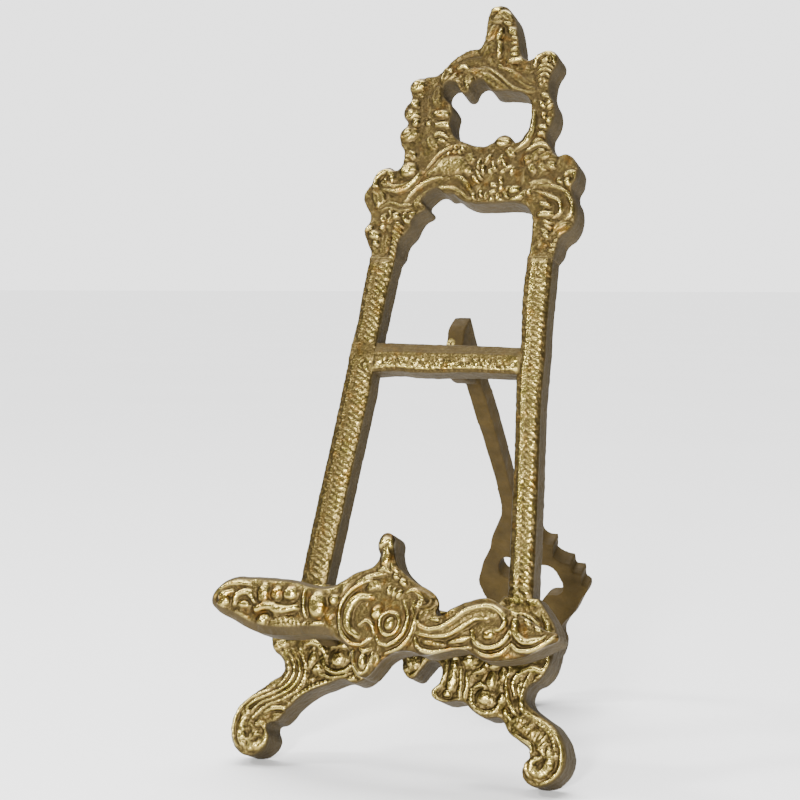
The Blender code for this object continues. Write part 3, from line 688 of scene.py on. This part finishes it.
def carve_ledge_medallion(c):
    c.ridge([(-0.4, -76.2), (-2.6, -73.9), (-6.6, -74.6), (-11.6, -78.2), (-14.2, -83.8), (-13.2, -90.8),
             (-9.4, -95.6), (-4.8, -96.2), (-1.4, -93.6)], 1.2, 2.2)
    c.ridge([(-3.6, -79.3), (-8.4, -80.2), (-11.2, -85), (-10.4, -90.6), (-6.6, -93.4)], 2.7, 2.1, (0.6, 0.6))
    c.ridge([(-6.6, -89.6), (-3.8, -87.8), (-1.4, -89.2), (-0.2, -92.4)], 1.1, 2.1)
    c.ridge([(12.3, -79.6), (14, -86.4), (13.2, -91.8), (10, -96.2), (4.6, -98.8)], 1, 2.2)
    c.ridge([(9, -80), (11.4, -85.4), (10.6, -91), (6.6, -95.2), (2.6, -95.4), (0.6, -92.8)], 1.1, 2.2)
    c.oval(-0.3, -84.8, 4, 4.8, 0, 2.3)
    c.ridge([(4.2, -84.2), (7.4, -85), (8.6, -88.4), (7, -91.6), (3.8, -92.2), (1.6, -89.4), (1.8, -86),
             (4.2, -84.2)], 0.8, 2.3, (1, 1))
    c.oval(5.1, -88.2, 3.6, 4.8, -20, 2.1)
    c.leaf([(-5.4, -77.4), (-3, -75.4), (0.2, -74.8)], 2.6, 1.9, 1.5, 0.6)
    for step in range(3):
        c.oval(3.2 + 1.9 * step, -76.9 - 0.5 * step, 1.5, 3.4, 8 - 16 * step, 2.1)
    c.ridge([(-9.8, -75), (-4.6, -72.2), (1, -71)], 1.5, 1.7)
    c.oval(7.8, -73.6, 3.6, 2.2, -38, 1.6)
    c.oval(4.8, -71.6, 3, 1.8, -50, 1.6)


def carve_ledge_knob_and_drop(c):
    c.oval(-0.4, -60.6, 5.2, 4.8, 0, 2.3)
    c.ridge([(-0.2, -62.6), (0.4, -65.6), (0.2, -69.2)], 2.7, 2.1, (0.8, 0.7))
    c.oval(0.6, -62.6, 1.3, 3.6, 10, 2.4)
    c.ridge([(-2.2, -70.2), (0.2, -69.4), (2.8, -70.6)], 1.4, 1.9)
    c.ridge([(2.4, -66.4), (3.2, -68.6), (5.4, -70.2)], 1.4, 1.7)
    c.ridge([(-7.2, -98.6), (-6.4, -102.4), (-3.8, -105.8), (-1.4, -105), (0.2, -101.6), (0.2, -98.6)],
            1.5, 2.1)
    c.oval(-3, -102, 3, 5.8, 8, 2.4)
    c.leaf([(1.6, -98.4), (2, -101.4), (0.8, -104.6)], 1.8, 2, 1.2, 0.5)
    c.ridge([(-5, -97.6), (-3, -98.4), (-1, -97.6)], 1.2, 2)


def carve_ledge_right(c):
    c.ridge([(9.4, -77), (11.8, -76), (14.2, -77.2), (15.3, -79.4), (14.8, -81.6), (13.2, -81.2),
             (13.2, -79.6)], 1.2, 2.3)
    c.oval(21.4, -85.6, 5, 1.8, -10, 1.7)
    c.leaf([(23.6, -86), (27, -83.2), (31, -80.8)], 2, 1.7, 1.4, 0.6)
    c.ridge([(14.6, -88.6), (18.8, -90.2), (23.4, -89.8), (28.4, -87.6), (32.6, -84.2), (37.4, -82),
             (42.4, -82.4)], 3.4, 1.7, (0.7, 0.8))
    c.ridge([(12.4, -81.8), (14.6, -86.6), (18.6, -89), (23.6, -88.4), (28.2, -85.4), (32.6, -81.8),
             (39, -79.9), (43.6, -80.8), (46.6, -84), (45.6, -87.4), (42.6, -87.8)], 1.4, 2.5, (0.5, 0.8))
    c.ridge([(14.4, -90.8), (20.6, -91.6), (26.8, -90.8), (31.8, -87.6), (36.2, -84.6), (40.6, -84.2)],
            1.2, 2.3)
    c.oval(22, -93.8, 8.4, 2.2, -4, 1.5)
    c.ridge([(15, -92.4), (17, -95.8), (22, -97), (28.4, -95.8), (35.4, -94.2)], 1.4, 2.4)
    c.ridge([(27.6, -93.2), (31.6, -92.2), (35.2, -90.6)], 1.6, 1.8)
    c.oval(41.6, -89.4, 4.4, 3.2, 25, 1.9)
    c.ridge([(35.4, -88.6), (37, -92.2), (40.8, -94), (45.2, -93), (48.4, -89.6), (50.2, -85.4)], 1.5, 2.4,
            (0.6, 0.8))
    c.ridge([(37.2, -94.8), (41.6, -96.6), (46.4, -95.6), (49.4, -92.6)], 1.2, 2.3)
    c.ridge([(50.2, -84.4), (51.2, -88.6), (54.6, -91), (58.8, -90.2), (61.8, -88.6)], 2.2, 2.2, (0.9, 0.3))
    c.ridge([(49.8, -92.2), (53, -94), (57.6, -93.6), (61.8, -91), (64.8, -88.4)], 1.4, 2.5, (0.6, 0.4))
    for boss in ((49.6, -81.6, 3.2, 1.8, -30, 1.9), (54.6, -84.2, 3.6, 1.6, -48, 1.7),
                 (58.6, -86.4, 3.4, 1.4, -30, 1.7)):
        c.oval(*boss)


def carve_ledge(c):
    carve_ledge_left(c)
    c.height = blurred(c.height, 0.25)
    c.bead(0, -85, 25, 0.9)
    carve_ledge_right(c)
    carve_ledge_medallion(c)
    carve_ledge_knob_and_drop(c)
    wing = np.clip((-13 - c.grid_x) / 6, 0, 1)
    reach = 2.8 - 1 * np.tanh((c.grid_v + 86) / 3)
    fall = np.clip(1 - c.edge / reach, 0, 1)
    c.height -= 1.3 * wing * fall ** 2
    # Painted shade: the front darkens towards its rounded rim, and on the left wing the rim takes the sides'
    # plain brown, partly the sides' own finish and partly painted shade.
    c.tone = -0.2 * fall ** 2
    c.plain = np.clip(2 * fall, 0, 1) * wing
    c.flare = (17, -79.6, 4.5, 4.6)


# ---- legs and apron ornament
def carve_left_foot(c):
    c.ridge([(-51, -96.2), (-47.4, -98.4), (-45.4, -103), (-47.2, -107.6), (-53.2, -111.2),
             (-59.6, -115), (-63.4, -120.4), (-64, -126.6), (-61.6, -131.4), (-57, -133.8)], 1, 2.1)
    c.ridge([(-48.6, -95.6), (-44.4, -99.2), (-42.9, -103.8), (-45, -108.4), (-50.6, -112),
             (-57.2, -115.2), (-61.2, -119.8), (-62, -125.6)], 1.1, 2.2)
    c.ridge([(-45.6, -95), (-41.8, -99.6), (-40.6, -104.4), (-42.8, -109.2), (-48.6, -113),
             (-54.8, -116), (-58.8, -120.2)], 1.1, 2.2)
    c.cable([(-42, -95.2), (-39.2, -100), (-38.6, -105), (-41, -110.2), (-47, -114.2),
             (-52.6, -117), (-56.6, -121)], 1.2, 2.2, 1.3, 0.2)
    c.ridge([(-59.4, -119), (-61, -124.4), (-59.4, -129.6), (-55.4, -131.6), (-51.4, -129.8),
             (-50, -126.2), (-52.2, -123.2), (-55, -123.6)], 3, 2, (0.6, 0.5))
    c.bead(-54.4, -126.8, 1.8, 2)
    c.leaf([(-54.6, -110), (-50.8, -108.4), (-47.6, -105.2)], 2.4, 1.6, 1.1, 0.7)
    c.leaf([(-53, -96), (-50.2, -93.8), (-46.6, -93.4)], 2.6, 2, 1.1, 0.5)
    c.ridge([(-52.6, -119), (-48.6, -117), (-44.6, -117), (-41.6, -118.4)], 1.5, 2.1)
    c.leaf([(-50.4, -120.8), (-46.4, -119.6), (-42.6, -120.4)], 1.8, 1.8, 1.1, 0.4)
    c.cable([(-41.6, -113.4), (-36.8, -110), (-31, -107), (-25.4, -105.6), (-19.6, -104)],
            2.2, 2.1, 1.6, 0.1)
    c.roughen(-57, -126.6, 9)


def carve_left_apron(c):
    c.oval(-36.6, -98.8, 2.8, 6.4, -8, 2)
    c.bead(-33.8, -101.6, 3.2, 2.3, 0.7)
    c.ridge([(-40.4, -93.4), (-37, -92.2), (-33.6, -93.8), (-31.4, -96.8)], 1.8, 2)
    c.ridge([(-32.4, -98.6), (-30, -101.4), (-26, -102.4), (-22, -100.8), (-20, -97.4)], 1.4, 2.2)
    c.ridge([(-33.8, -102.8), (-29.4, -104.2), (-24.6, -103.8), (-20.4, -101.8)], 1.1, 1.9)
    c.bead(-26.4, -97.6, 4.8, 2.2, 0.9)
    c.leaf([(-30.8, -93), (-26.6, -91.6), (-22.4, -93)], 3.2, 2, 1.3, 0.6)
    c.channel([(-18.8, -92.6), (-19.6, -97), (-17.4, -101.6), (-13.4, -101)], 2.6, 2)
    c.oval(-15.2, -95.4, 3.6, 5, 20, 1.9)


def carve_right_apron(c):
    c.cable([(15.6, -95), (16, -99), (14.6, -102.6)], 1.7, 1.8, 0.9, 0.1)
    c.ridge([(18.6, -94.6), (18.8, -99.6), (18.4, -104.4)], 3, 2.2, (0.7, 0.8))
    c.ridge([(13.8, -103.6), (12.4, -106.4), (14.4, -109), (18.6, -109.6), (22.4, -107.8)], 1.8, 2.2)
    c.bead(17.4, -106.4, 2.6, 2.1)
    c.cable([(21.2, -97), (22, -102), (22, -106.6)], 1.4, 2, 0.9, 0.1)
    c.cable([(23.6, -99), (24.4, -103), (24, -107)], 1.4, 2, 0.9, 0.1)
    c.bead(23.8, -94.2, 3.8, 2.2, 0.8)
    c.leaf([(20, -92.2), (24, -90.2), (28.4, -91.4)], 2.8, 1.9, 1.2, 0.5)
    c.ridge([(26, -98.2), (29.4, -97), (31, -93.8)], 1.6, 1.9)
    c.oval(33.2, -100.4, 3.2, 6.4, -6, 2.1)
    c.oval(33.6, -95.2, 4.4, 2.6, 20, 1.9)
    c.cable([(26.2, -104.4), (27, -108.6), (30.6, -111.4), (35, -111.2), (37.2, -108.8)], 1.6, 2, 1, 0.1)
    c.ridge([(26.6, -103.4), (29.4, -102.2), (31.6, -103)], 1.2, 2)
    c.bead(31.6, -106.6, 4.6, 2.4, 0.9)
    c.oval(38, -106.6, 2.6, 3.8, -15, 2.1)
    c.oval(37.2, -98.4, 2.6, 5.2, 8, 1.8)


def carve_right_foot(c):
    c.ridge([(42.4, -105), (41.2, -100.6), (42.8, -97.4), (45.4, -97)], 1.1, 2.1)
    c.ridge([(44.2, -105.6), (43.6, -101.8), (45.2, -99.4)], 1, 2)
    c.ridge([(39.4, -95.6), (38.8, -101), (40.4, -106.8), (44, -111.6), (49.4, -114.2), (54.6, -116.4)],
            1.2, 2.1)
    c.ridge([(47, -96.4), (45.4, -101.4), (45, -106.6), (47.6, -110.6), (53, -112.8), (57.8, -116),
             (61.2, -120.8), (62, -126.6), (60, -131.4), (55.6, -134)], 1.2, 2.2, (0.5, 0.6))
    c.ridge([(49.2, -98.4), (47.6, -103), (48, -107.4), (52.4, -110.6), (57.4, -113.6)], 1, 1.9)
    c.cable([(45, -108.6), (49, -112.6), (54.6, -115), (58.4, -119.4), (59.8, -125)], 1.3, 2.1, 1.3, 0.2)
    c.ridge([(43.2, -97), (47.4, -95.2), (51.4, -95.8), (53, -93), (52.6, -90)], 1.6, 2.1)
    c.oval(51, -97.6, 4, 1.8, 12, 1.9)
    for k in range(4):
        c.oval(40.2 + 1.5 * k, -111.4 - 1.4 * k, 3.6, 1.3, -58, 2)
    c.cable([(45, -113.4), (49.4, -116.4), (53.4, -119.2), (55.8, -123)], 4.4, 1.8, 1.3, 0.3)
    c.ridge([(43.2, -118), (47.4, -119.8), (51, -122), (49.4, -126.6), (50.6, -131.2), (54.6, -133)],
            1.1, 2.1)
    c.ridge([(56.8, -121.8), (58.2, -126.2), (56, -130.2), (52.4, -129.8), (51.8, -126.8), (54.2, -125.2)],
            2.6, 2.1, (0.7, 0.5))
    c.roughen(54.6, -126.6, 9)
    c.roughen(50, -117, 5, 0.35)


def carve_apron_top(c):
    """The part that the ledge hides from the front: shoulders, blocks and a low scrolled band."""
    for side in (-1, 1):
        c.ridge([(side * x, v) for x, v in ((51.6, -90), (52.2, -82.6), (49, -76))], 1.8, 1.8)
        c.channel([(side * x, v) for x, v in ((46.6, -90.4), (47.6, -83), (42, -78.2), (34, -79.6))],
                  3.6, 2)
        c.volute(side * 33.6, -85, 4.6, 90, -side * 1.2, 1.8, 2)
        c.leaf([(side * x, v) for x, v in ((27, -79), (18, -81), (8, -80))], 4.2, 1.9, 1.8)
        c.leaf([(side * x, v) for x, v in ((26, -88), (17, -88.6), (8, -87))], 4.6, 1.8, 1.8)
        c.oval(side * 45, -71.6, 5.2, 3.2, -side * 15, 2.2)
        c.oval(side * 38.4, -71.8, 5.6, 2.4, 0, 1.6)
    c.oval(0, -83.4, 7, 8.4, 0, 2.1, 1.2)
    c.leaf([(1.6, -92), (2.6, -95.6), (3, -99.8)], 3.6, 2, 1.2, 0.5)


def carve_apron(c):
    carve_apron_top(c)
    carve_left_foot(c)
    carve_left_apron(c)
    carve_right_apron(c)
    carve_right_foot(c)
    c.grain = 0.20


# ---- bars
def share_across(inside, position):
    """How far each grid point is between the first and last inside point of its row, 0 to 1."""
    found = inside.any(0)
    low = np.where(found, np.where(inside, position, np.inf).min(0), position.min())
    high = np.where(found, np.where(inside, position, -np.inf).max(0), position.max())
    return (position - low) / np.maximum(high - low, 1e-6)


def carve_upright(c):
    """From left to right: a striped bevel, a fine ladder, a strip of rope and a narrow bevel."""
    across = share_across(c.inside, c.grid_x)
    on_bevel = across < UPRIGHT_BEVEL
    on_far_bevel = across > UPRIGHT_ROPE
    before_rope = across < UPRIGHT_LADDER
    along = c.grid_v + 0.5 * c.noise(9.0)
    stripes = 0.12 * np.cos(2 * math.pi * (along - 12 * across) / 2.2)
    bevel = 1.0 + 0.6 * np.clip(across / UPRIGHT_BEVEL, 0, 1) + stripes
    rungs = np.cos(2 * math.pi * along / 1.1)
    ladder = 1.85 + 0.26 * rungs
    u = np.clip((across - ROPE_MIDDLE) / ROPE_HALF, -1, 1)
    strand = np.abs(np.sin(math.pi * (along + 0.9 * u) / 2.3)) ** 0.6
    swell = np.sqrt(1 - (0.8 * u) ** 2)
    rope = 1.15 + 1.0 * swell * (0.25 + 0.75 * strand)
    far_bevel = 1.7 - 0.8 * np.clip((across - 0.84) / 0.16, 0, 1) + stripes
    height = np.where(on_bevel, bevel, np.where(before_rope, ladder, rope))
    height = np.where(on_far_bevel, far_bevel, height)
    # Painted light and shade: the ladder strip is paler and the rope a little paler, as painted light, and
    # the slanting bevels are darker, as painted shade.
    tone = np.where(before_rope, 0.16, 0.08)
    tone = np.where(on_bevel | on_far_bevel, -0.16, tone)
    on_left = c.x.mean() < 0
    if on_left:
        # Painted shade: the left upright gets less light, so its bevel and ladder are darker and its rope
        # gets no paler tone; its plain band is darker too.
        tone = np.where(before_rope, -0.14, 0.0)
        band = np.exp(-((c.grid_v - BAND_V) / BAND_HALF) ** 4)
        height = height * (1 - band) + band * (1.6 + 0.10 * rungs)
        tone = tone * (1 - band) - 0.18 * band
    c.height = height + 0.10 * c.noise(1.1)
    c.tone = tone
    c.plain = 0.4 * c.plain
    if on_left:
        c.oval(-33.0, 12.8, 2.2, 4.4, 28, 2.1)


def carve_crossbar(c):
    """From the top: a bevel browned with painted shade, a few lengthwise lines, a speckled strip and a brown
    edge.
    """
    across = 1 - share_across(c.inside.T, c.grid_v.T).T
    on_bevel = across < CROSSBAR_BEVEL
    before_studs = across < CROSSBAR_LINES
    on_edge = across > CROSSBAR_STUDS
    wander = 0.03 * c.noise(8.0)
    lines = 0.20 * np.cos(2 * math.pi * (across + wander) * CROSSBAR_HEIGHT / 1.15)
    bevel = 0.7 + 1.2 * np.clip(across / CROSSBAR_BEVEL, 0, 1)
    studs = c.noise(0.95)
    strands = np.abs(np.sin(math.pi * (c.grid_x + 0.7 * c.grid_v) / 2.3))
    blotches = value_noise(c.rng, c.grid_x, 2.5 * c.grid_v, 2.2)
    c.height = np.where(before_studs, bevel + lines, 1.3 + 0.5 * studs + 0.6 * strands)
    c.height = np.where(on_edge, 0.9, c.height)
    # Painted shade: the upward bevel is darkened, with random blotches in it, and half takes the sides'
    # brown; the lined strip is a little darker, the speckled strip a little paler and the edge darker.
    c.tone = np.where(on_bevel, 0.22 * blotches - 0.50, np.where(before_studs, -0.12, 0.10))
    c.tone = np.where(on_edge, -0.25, c.tone)
    c.plain = np.where(on_bevel, 0.5, 0.5 * c.plain)


# ---- materials
class Nodes:
    """A short way to build a material's nodes."""

    def __init__(self, name):
        self.material = bpy.data.materials.new(name)
        self.material.use_nodes = True
        self.tree = self.material.node_tree
        self.shader = self.tree.nodes["Principled BSDF"]
        self.place = self.add("ShaderNodeTexCoord").outputs["Object"]

    def add(self, kind, **settings):
        node = self.tree.nodes.new(kind)
        for key, value in settings.items():
            setattr(node, key, value)
        return node

    def link(self, source, target):
        if isinstance(source, (int, float)):
            target.default_value = source
        else:
            self.tree.links.new(source, target)

    def noise(self, scale, detail=2.0, roughness=0.5):
        node = self.add("ShaderNodeTexNoise")
        self.link(self.place, node.inputs["Vector"])
        node.inputs["Scale"].default_value = scale
        node.inputs["Detail"].default_value = detail
        node.inputs["Roughness"].default_value = roughness
        return node.outputs["Fac"]

    def value(self, name):
        return self.add("ShaderNodeAttribute", attribute_name=name).outputs["Fac"]

    def math(self, operation, a, b=0.0, c=0.0):
        node = self.add("ShaderNodeMath", operation=operation)
        for source, target in zip((a, b, c), node.inputs):
            self.link(source, target)
        return node.outputs["Value"]

    def ramp(self, factor, *stops):
        """Stops are (position, colour); the colour may be a grey number."""
        node = self.add("ShaderNodeValToRGB")
        self.link(factor, node.inputs["Fac"])
        elements = node.color_ramp.elements
        while len(elements) < len(stops):
            elements.new(0.5)
        for element, (position, colour) in zip(elements, stops):
            element.position = position
            element.color = (*colour, 1) if isinstance(colour, tuple) else (colour,) * 3 + (1,)
        return node.outputs["Color"]

    def mix(self, factor, a, b, blend="MIX"):
        node = self.add("ShaderNodeMix", data_type="RGBA", blend_type=blend)
        self.link(factor, node.inputs["Factor"])
        for source, target in ((a, node.inputs["A"]), (b, node.inputs["B"])):
            if isinstance(source, tuple):
                target.default_value = (*source, 1)
            else:
                self.link(source, target)
        return node.outputs["Result"]

    def bump(self, height, distance, normal=None):
        node = self.add("ShaderNodeBump")
        node.inputs["Strength"].default_value = 1.0
        node.inputs["Distance"].default_value = distance
        self.link(height, node.inputs["Height"])
        if normal is not None:
            self.link(normal, node.inputs["Normal"])
        return node.outputs["Normal"]

    def mottled(self, colour, spread, scale, detail):
        """The colour, darker and lighter in patches by up to that share."""
        dark = tuple((1 - spread) * c for c in colour)
        light = tuple((1 + spread) * c for c in colour)
        return self.ramp(self.noise(scale, detail, 0.6), (0.3, dark), (0.7, light))

    def skin(self, coarse, fine):
        """Two layers of cast grain on the shader's normal, each as (scale, detail, depth in metres)."""
        under = self.bump(self.noise(*coarse[:2]), coarse[2])
        self.link(self.bump(self.noise(*fine[:2]), fine[2], under), self.shader.inputs["Normal"])


RECESS = (0.056, 0.039, 0.015)  # dark patina in the hollows
BRASS = (0.112, 0.081, 0.027)  # the carving's middle tone
RUBBED = (0.51, 0.40, 0.118)  # gilding rubbed bright on the heights
SIDE = (0.048, 0.034, 0.013)  # the plain brown of sides and backs
GREEN_TINT = (0.62, 0.66, 0.42)
ORANGE_TINT = (0.62, 0.38, 0.10)
HOLLOW_GAIN = 0.88  # how strongly hollows darken with patina, and how strongly the painted light and shade tell
MOTTLING = 0.30
SIDE_METALLIC = 0.3
SIDE_ROUGHNESS = 0.68
SPECULAR = 0.15


def carved_brass(name, wear_base, green, orange, dulled=0.0):
    """Gilded brass: rubbed bright on the high carving, dark in the hollows, plain brown on the sides, and
    lighter or darker where the carving's tone paints light and shade.
    wear_base is how far the gilding is rubbed, green and orange are the shares of those stains, and
    dulled is what the carving's roughness gains."""
    n = Nodes(name)
    # the hollows' patina and the carving's painted light and shade come in through this attribute
    patina_and_painted_light = n.math("MULTIPLY_ADD", n.value("patina_and_painted_light"), HOLLOW_GAIN, wear_base)
    speckle = n.math("MULTIPLY_ADD", n.noise(900, 3.0), MOTTLING, -0.5 * MOTTLING)
    wear_and_painted_light = n.math("ADD", patina_and_painted_light, speckle)
    gilt = n.ramp(wear_and_painted_light, (0.12, RECESS), (0.42, BRASS), (0.85, RUBBED))
    greenish = n.ramp(n.noise(160, 2.0), (0.56, 0.0), (0.70, green))
    orangish = n.ramp(n.noise(210, 2.0, 0.6), (0.55, 0.0), (0.72, orange))
    gilt = n.mix(greenish, gilt, GREEN_TINT, "MULTIPLY")
    gilt = n.mix(orangish, gilt, ORANGE_TINT, "OVERLAY")
    plain = n.mottled(SIDE, 0.2, 120, 4.0)
    front = n.ramp(n.value("front"), (0.25, 0.0), (0.75, 1.0))
    n.link(n.mix(front, plain, gilt), n.shader.inputs["Base Color"])
    n.link(n.ramp(front, (0.0, SIDE_METALLIC), (1.0, 1.0)), n.shader.inputs["Metallic"])
    n.shader.inputs["Specular IOR Level"].default_value = SPECULAR
    shine = n.ramp(wear_and_painted_light, (0.1, 0.46 + dulled), (0.8, 0.20 + dulled))
    n.link(n.mix(front, (SIDE_ROUGHNESS,) * 3, shine), n.shader.inputs["Roughness"])
    n.skin((650, 2.0, 0.00030), (1900, 3.0, 0.00012))
    return n.material


def plain_brass(name, colour, roughness=SIDE_ROUGHNESS, metallic=SIDE_METALLIC):
    """Dull cast brass with a mottled tone, the grain of the mould and traces of gilding."""
    n = Nodes(name)
    tone = n.mottled(colour, 0.3, 110, 5.0)
    trace = n.math("MULTIPLY", n.value("gilding"), n.ramp(n.noise(1100, 2.0), (0.46, 0.0), (0.54, 1.0)))
    n.link(n.mix(trace, tone, RUBBED), n.shader.inputs["Base Color"])
    n.shader.inputs["Metallic"].default_value = metallic
    n.shader.inputs["Specular IOR Level"].default_value = SPECULAR
    n.link(n.ramp(n.noise(300, 3.0), (0.3, roughness - 0.1), (0.7, roughness + 0.1)),
           n.shader.inputs["Roughness"])
    n.skin((420, 3.0, 0.0002), (1500, 3.0, 0.00008))
    return n.material


# ---- pieces
def rough_casting(node, body, slot, material, voxel=ROUGH_VOXEL):
    """Remakes a plain CAD casting with soft edges and a slightly uneven surface."""
    mesh = remeshed(node_mesh(node, leaning=False), voxel)
    points = coordinates(mesh)
    rng = np.random.default_rng(len(node))
    x, y, z = points.T.copy()
    for axis, (u, v) in enumerate(((y, z), (x, z), (x, y))):
        points[:, axis] += BULGE * value_noise(rng, u, v, BULGE_SIZE)
    place_points(mesh, points * MM)
    distance = np.sqrt(((points - GILDED_SPOT) ** 2).sum(1))
    set_values(mesh, "gilding", np.clip(2 - distance / GILDED_REACH, 0, 1))
    mesh.update()
    add_piece(node + "_cast", mesh, material, body, slot, node)


crest_brass = carved_brass("antique_brass_crest", 0.30, 0.45, 0.5)
bar_brass = carved_brass("antique_brass_bars", 0.40, 0.6, 0.4)
ledge_brass = carved_brass("antique_brass_ledge", 0.39, 0.2, 0.7)
foot_brass = carved_brass("antique_brass_feet", 0.43, 0.8, 0.2, 0.04)
leg_brass = plain_brass("aged_brass_leg", (0.042, 0.027, 0.0068), 0.8, 0.12)
arm_brass = plain_brass("antique_brass_plain", (0.045, 0.031, 0.012))
pin_brass = plain_brass("pin_brass_turned", (0.30, 0.22, 0.11), 0.4, 0.95)

carved_casting("crest", carve_crest, 11, 2.4, 1.3, crest_brass, seams=((1, 56.2, -0.5),))
carved_casting("ledge", carve_ledge, 12, 2.7, 1.4, ledge_brass, ground=0.75)
carved_casting("leg_apron", carve_apron, 13, 2.4, 1.4, foot_brass, seams=((1, -71.0, 0.5),))
bar_seams = ((1, 55.9, 1.0), (1, -70.7, -1.0))
carved_casting("left_upright", carve_upright, 14, 2.2, 0.7, bar_brass, BAR_VOXEL, seams=bar_seams)
carved_casting("right_upright", carve_upright, 15, 2.2, 0.7, bar_brass, BAR_VOXEL, seams=bar_seams)
carved_casting("crossbar", carve_crossbar, 16, 2.2, 0.7, bar_brass, BAR_VOXEL,
               seams=((0, -29.8, -3.0), (0, 27.2, 3.0)))
rough_casting("rear_leg", "rear_leg", "aged_brass", leg_brass)
for side in ("left", "right"):
    rough_casting("ledge_arm_" + side, "frame", "antique_brass", arm_brass, 0.4)
for name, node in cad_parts.items():
    if "pin" in name or "screw" in name:
        node.data.materials.clear()
        node.data.materials.append(pin_brass)


# ---- studio, in metres
VIEW_PLACE = (0.28422, -0.69667, 0.17462)
VIEW_DIRECTION = (-0.4065, 0.9117, -0.0595)
LIGHT_TARGET = (0, 0, 0.14)


def add_item(name, data, location, rotation):
    item = bpy.data.objects.new(name, data)
    bpy.context.scene.collection.objects.link(item)
    item.location = location
    item.rotation_mode = "QUATERNION"
    item.rotation_quaternion = rotation
    return item


def add_area_light(name, location, size, power):
    """A round light that is aimed at the middle of the stand."""
    light = bpy.data.lights.new(name, "AREA")
    light.shape = "DISK"
    light.size = size
    light.energy = power
    add_item(name, light, location, (Vector(LIGHT_TARGET) - Vector(location)).to_track_quat("-Z", "Y"))


def add_sun(towards, strength, spread):
    """A broad soft light from far overhead, which lights the whole floor evenly."""
    light = bpy.data.lights.new("overhead", "SUN")
    light.energy = strength
    light.angle = math.radians(spread)
    add_item("overhead", light, (0, 0, 0), Vector(towards).to_track_quat("Z", "Y"))


def add_floor():
    bpy.ops.mesh.primitive_plane_add(size=60.0, location=(0, 0, -0.0002))
    floor = bpy.context.object
    floor.name = "studio_floor"
    n = Nodes("studio_paper")
    n.link(n.ramp(n.noise(3.0), (0.3, 0.86), (0.7, 0.88)), n.shader.inputs["Base Color"])
    n.shader.inputs["Roughness"].default_value = 0.9
    floor.data.materials.append(n.material)


def add_world():
    world = bpy.data.worlds.new("studio_world")
    world.use_nodes = True
    tree = world.node_tree
    ambient = tree.nodes["Background"]
    ambient.inputs["Color"].default_value = (0.93, 0.94, 0.96, 1)
    ambient.inputs["Strength"].default_value = 0.30
    seen = tree.nodes.new("ShaderNodeBackground")
    seen.inputs["Color"].default_value = (1.0, 1.0, 1.0, 1)
    seen.inputs["Strength"].default_value = 2.6
    ray = tree.nodes.new("ShaderNodeLightPath")
    choice = tree.nodes.new("ShaderNodeMixShader")
    tree.links.new(ray.outputs["Is Camera Ray"], choice.inputs["Fac"])
    tree.links.new(ambient.outputs["Background"], choice.inputs[1])
    tree.links.new(seen.outputs["Background"], choice.inputs[2])
    tree.links.new(choice.outputs["Shader"], tree.nodes["World Output"].inputs["Surface"])
    bpy.context.scene.world = world


def add_camera():
    lens = bpy.data.cameras.new("studio_camera")
    lens.lens = 90.0
    lens.sensor_width = 36.0
    rotation = Vector(VIEW_DIRECTION).to_track_quat("-Z", "Y")
    bpy.context.scene.camera = add_item("studio_camera", lens, VIEW_PLACE, rotation)


add_floor()
add_world()
add_sun((-0.15, 0.35, 1.0), 8.0, 60.0)
add_area_light("key", (0.25, -1.2, 0.35), 0.16, 34)
add_area_light("fill", (-0.9, -0.6, 1.1), 0.25, 14)
add_camera()
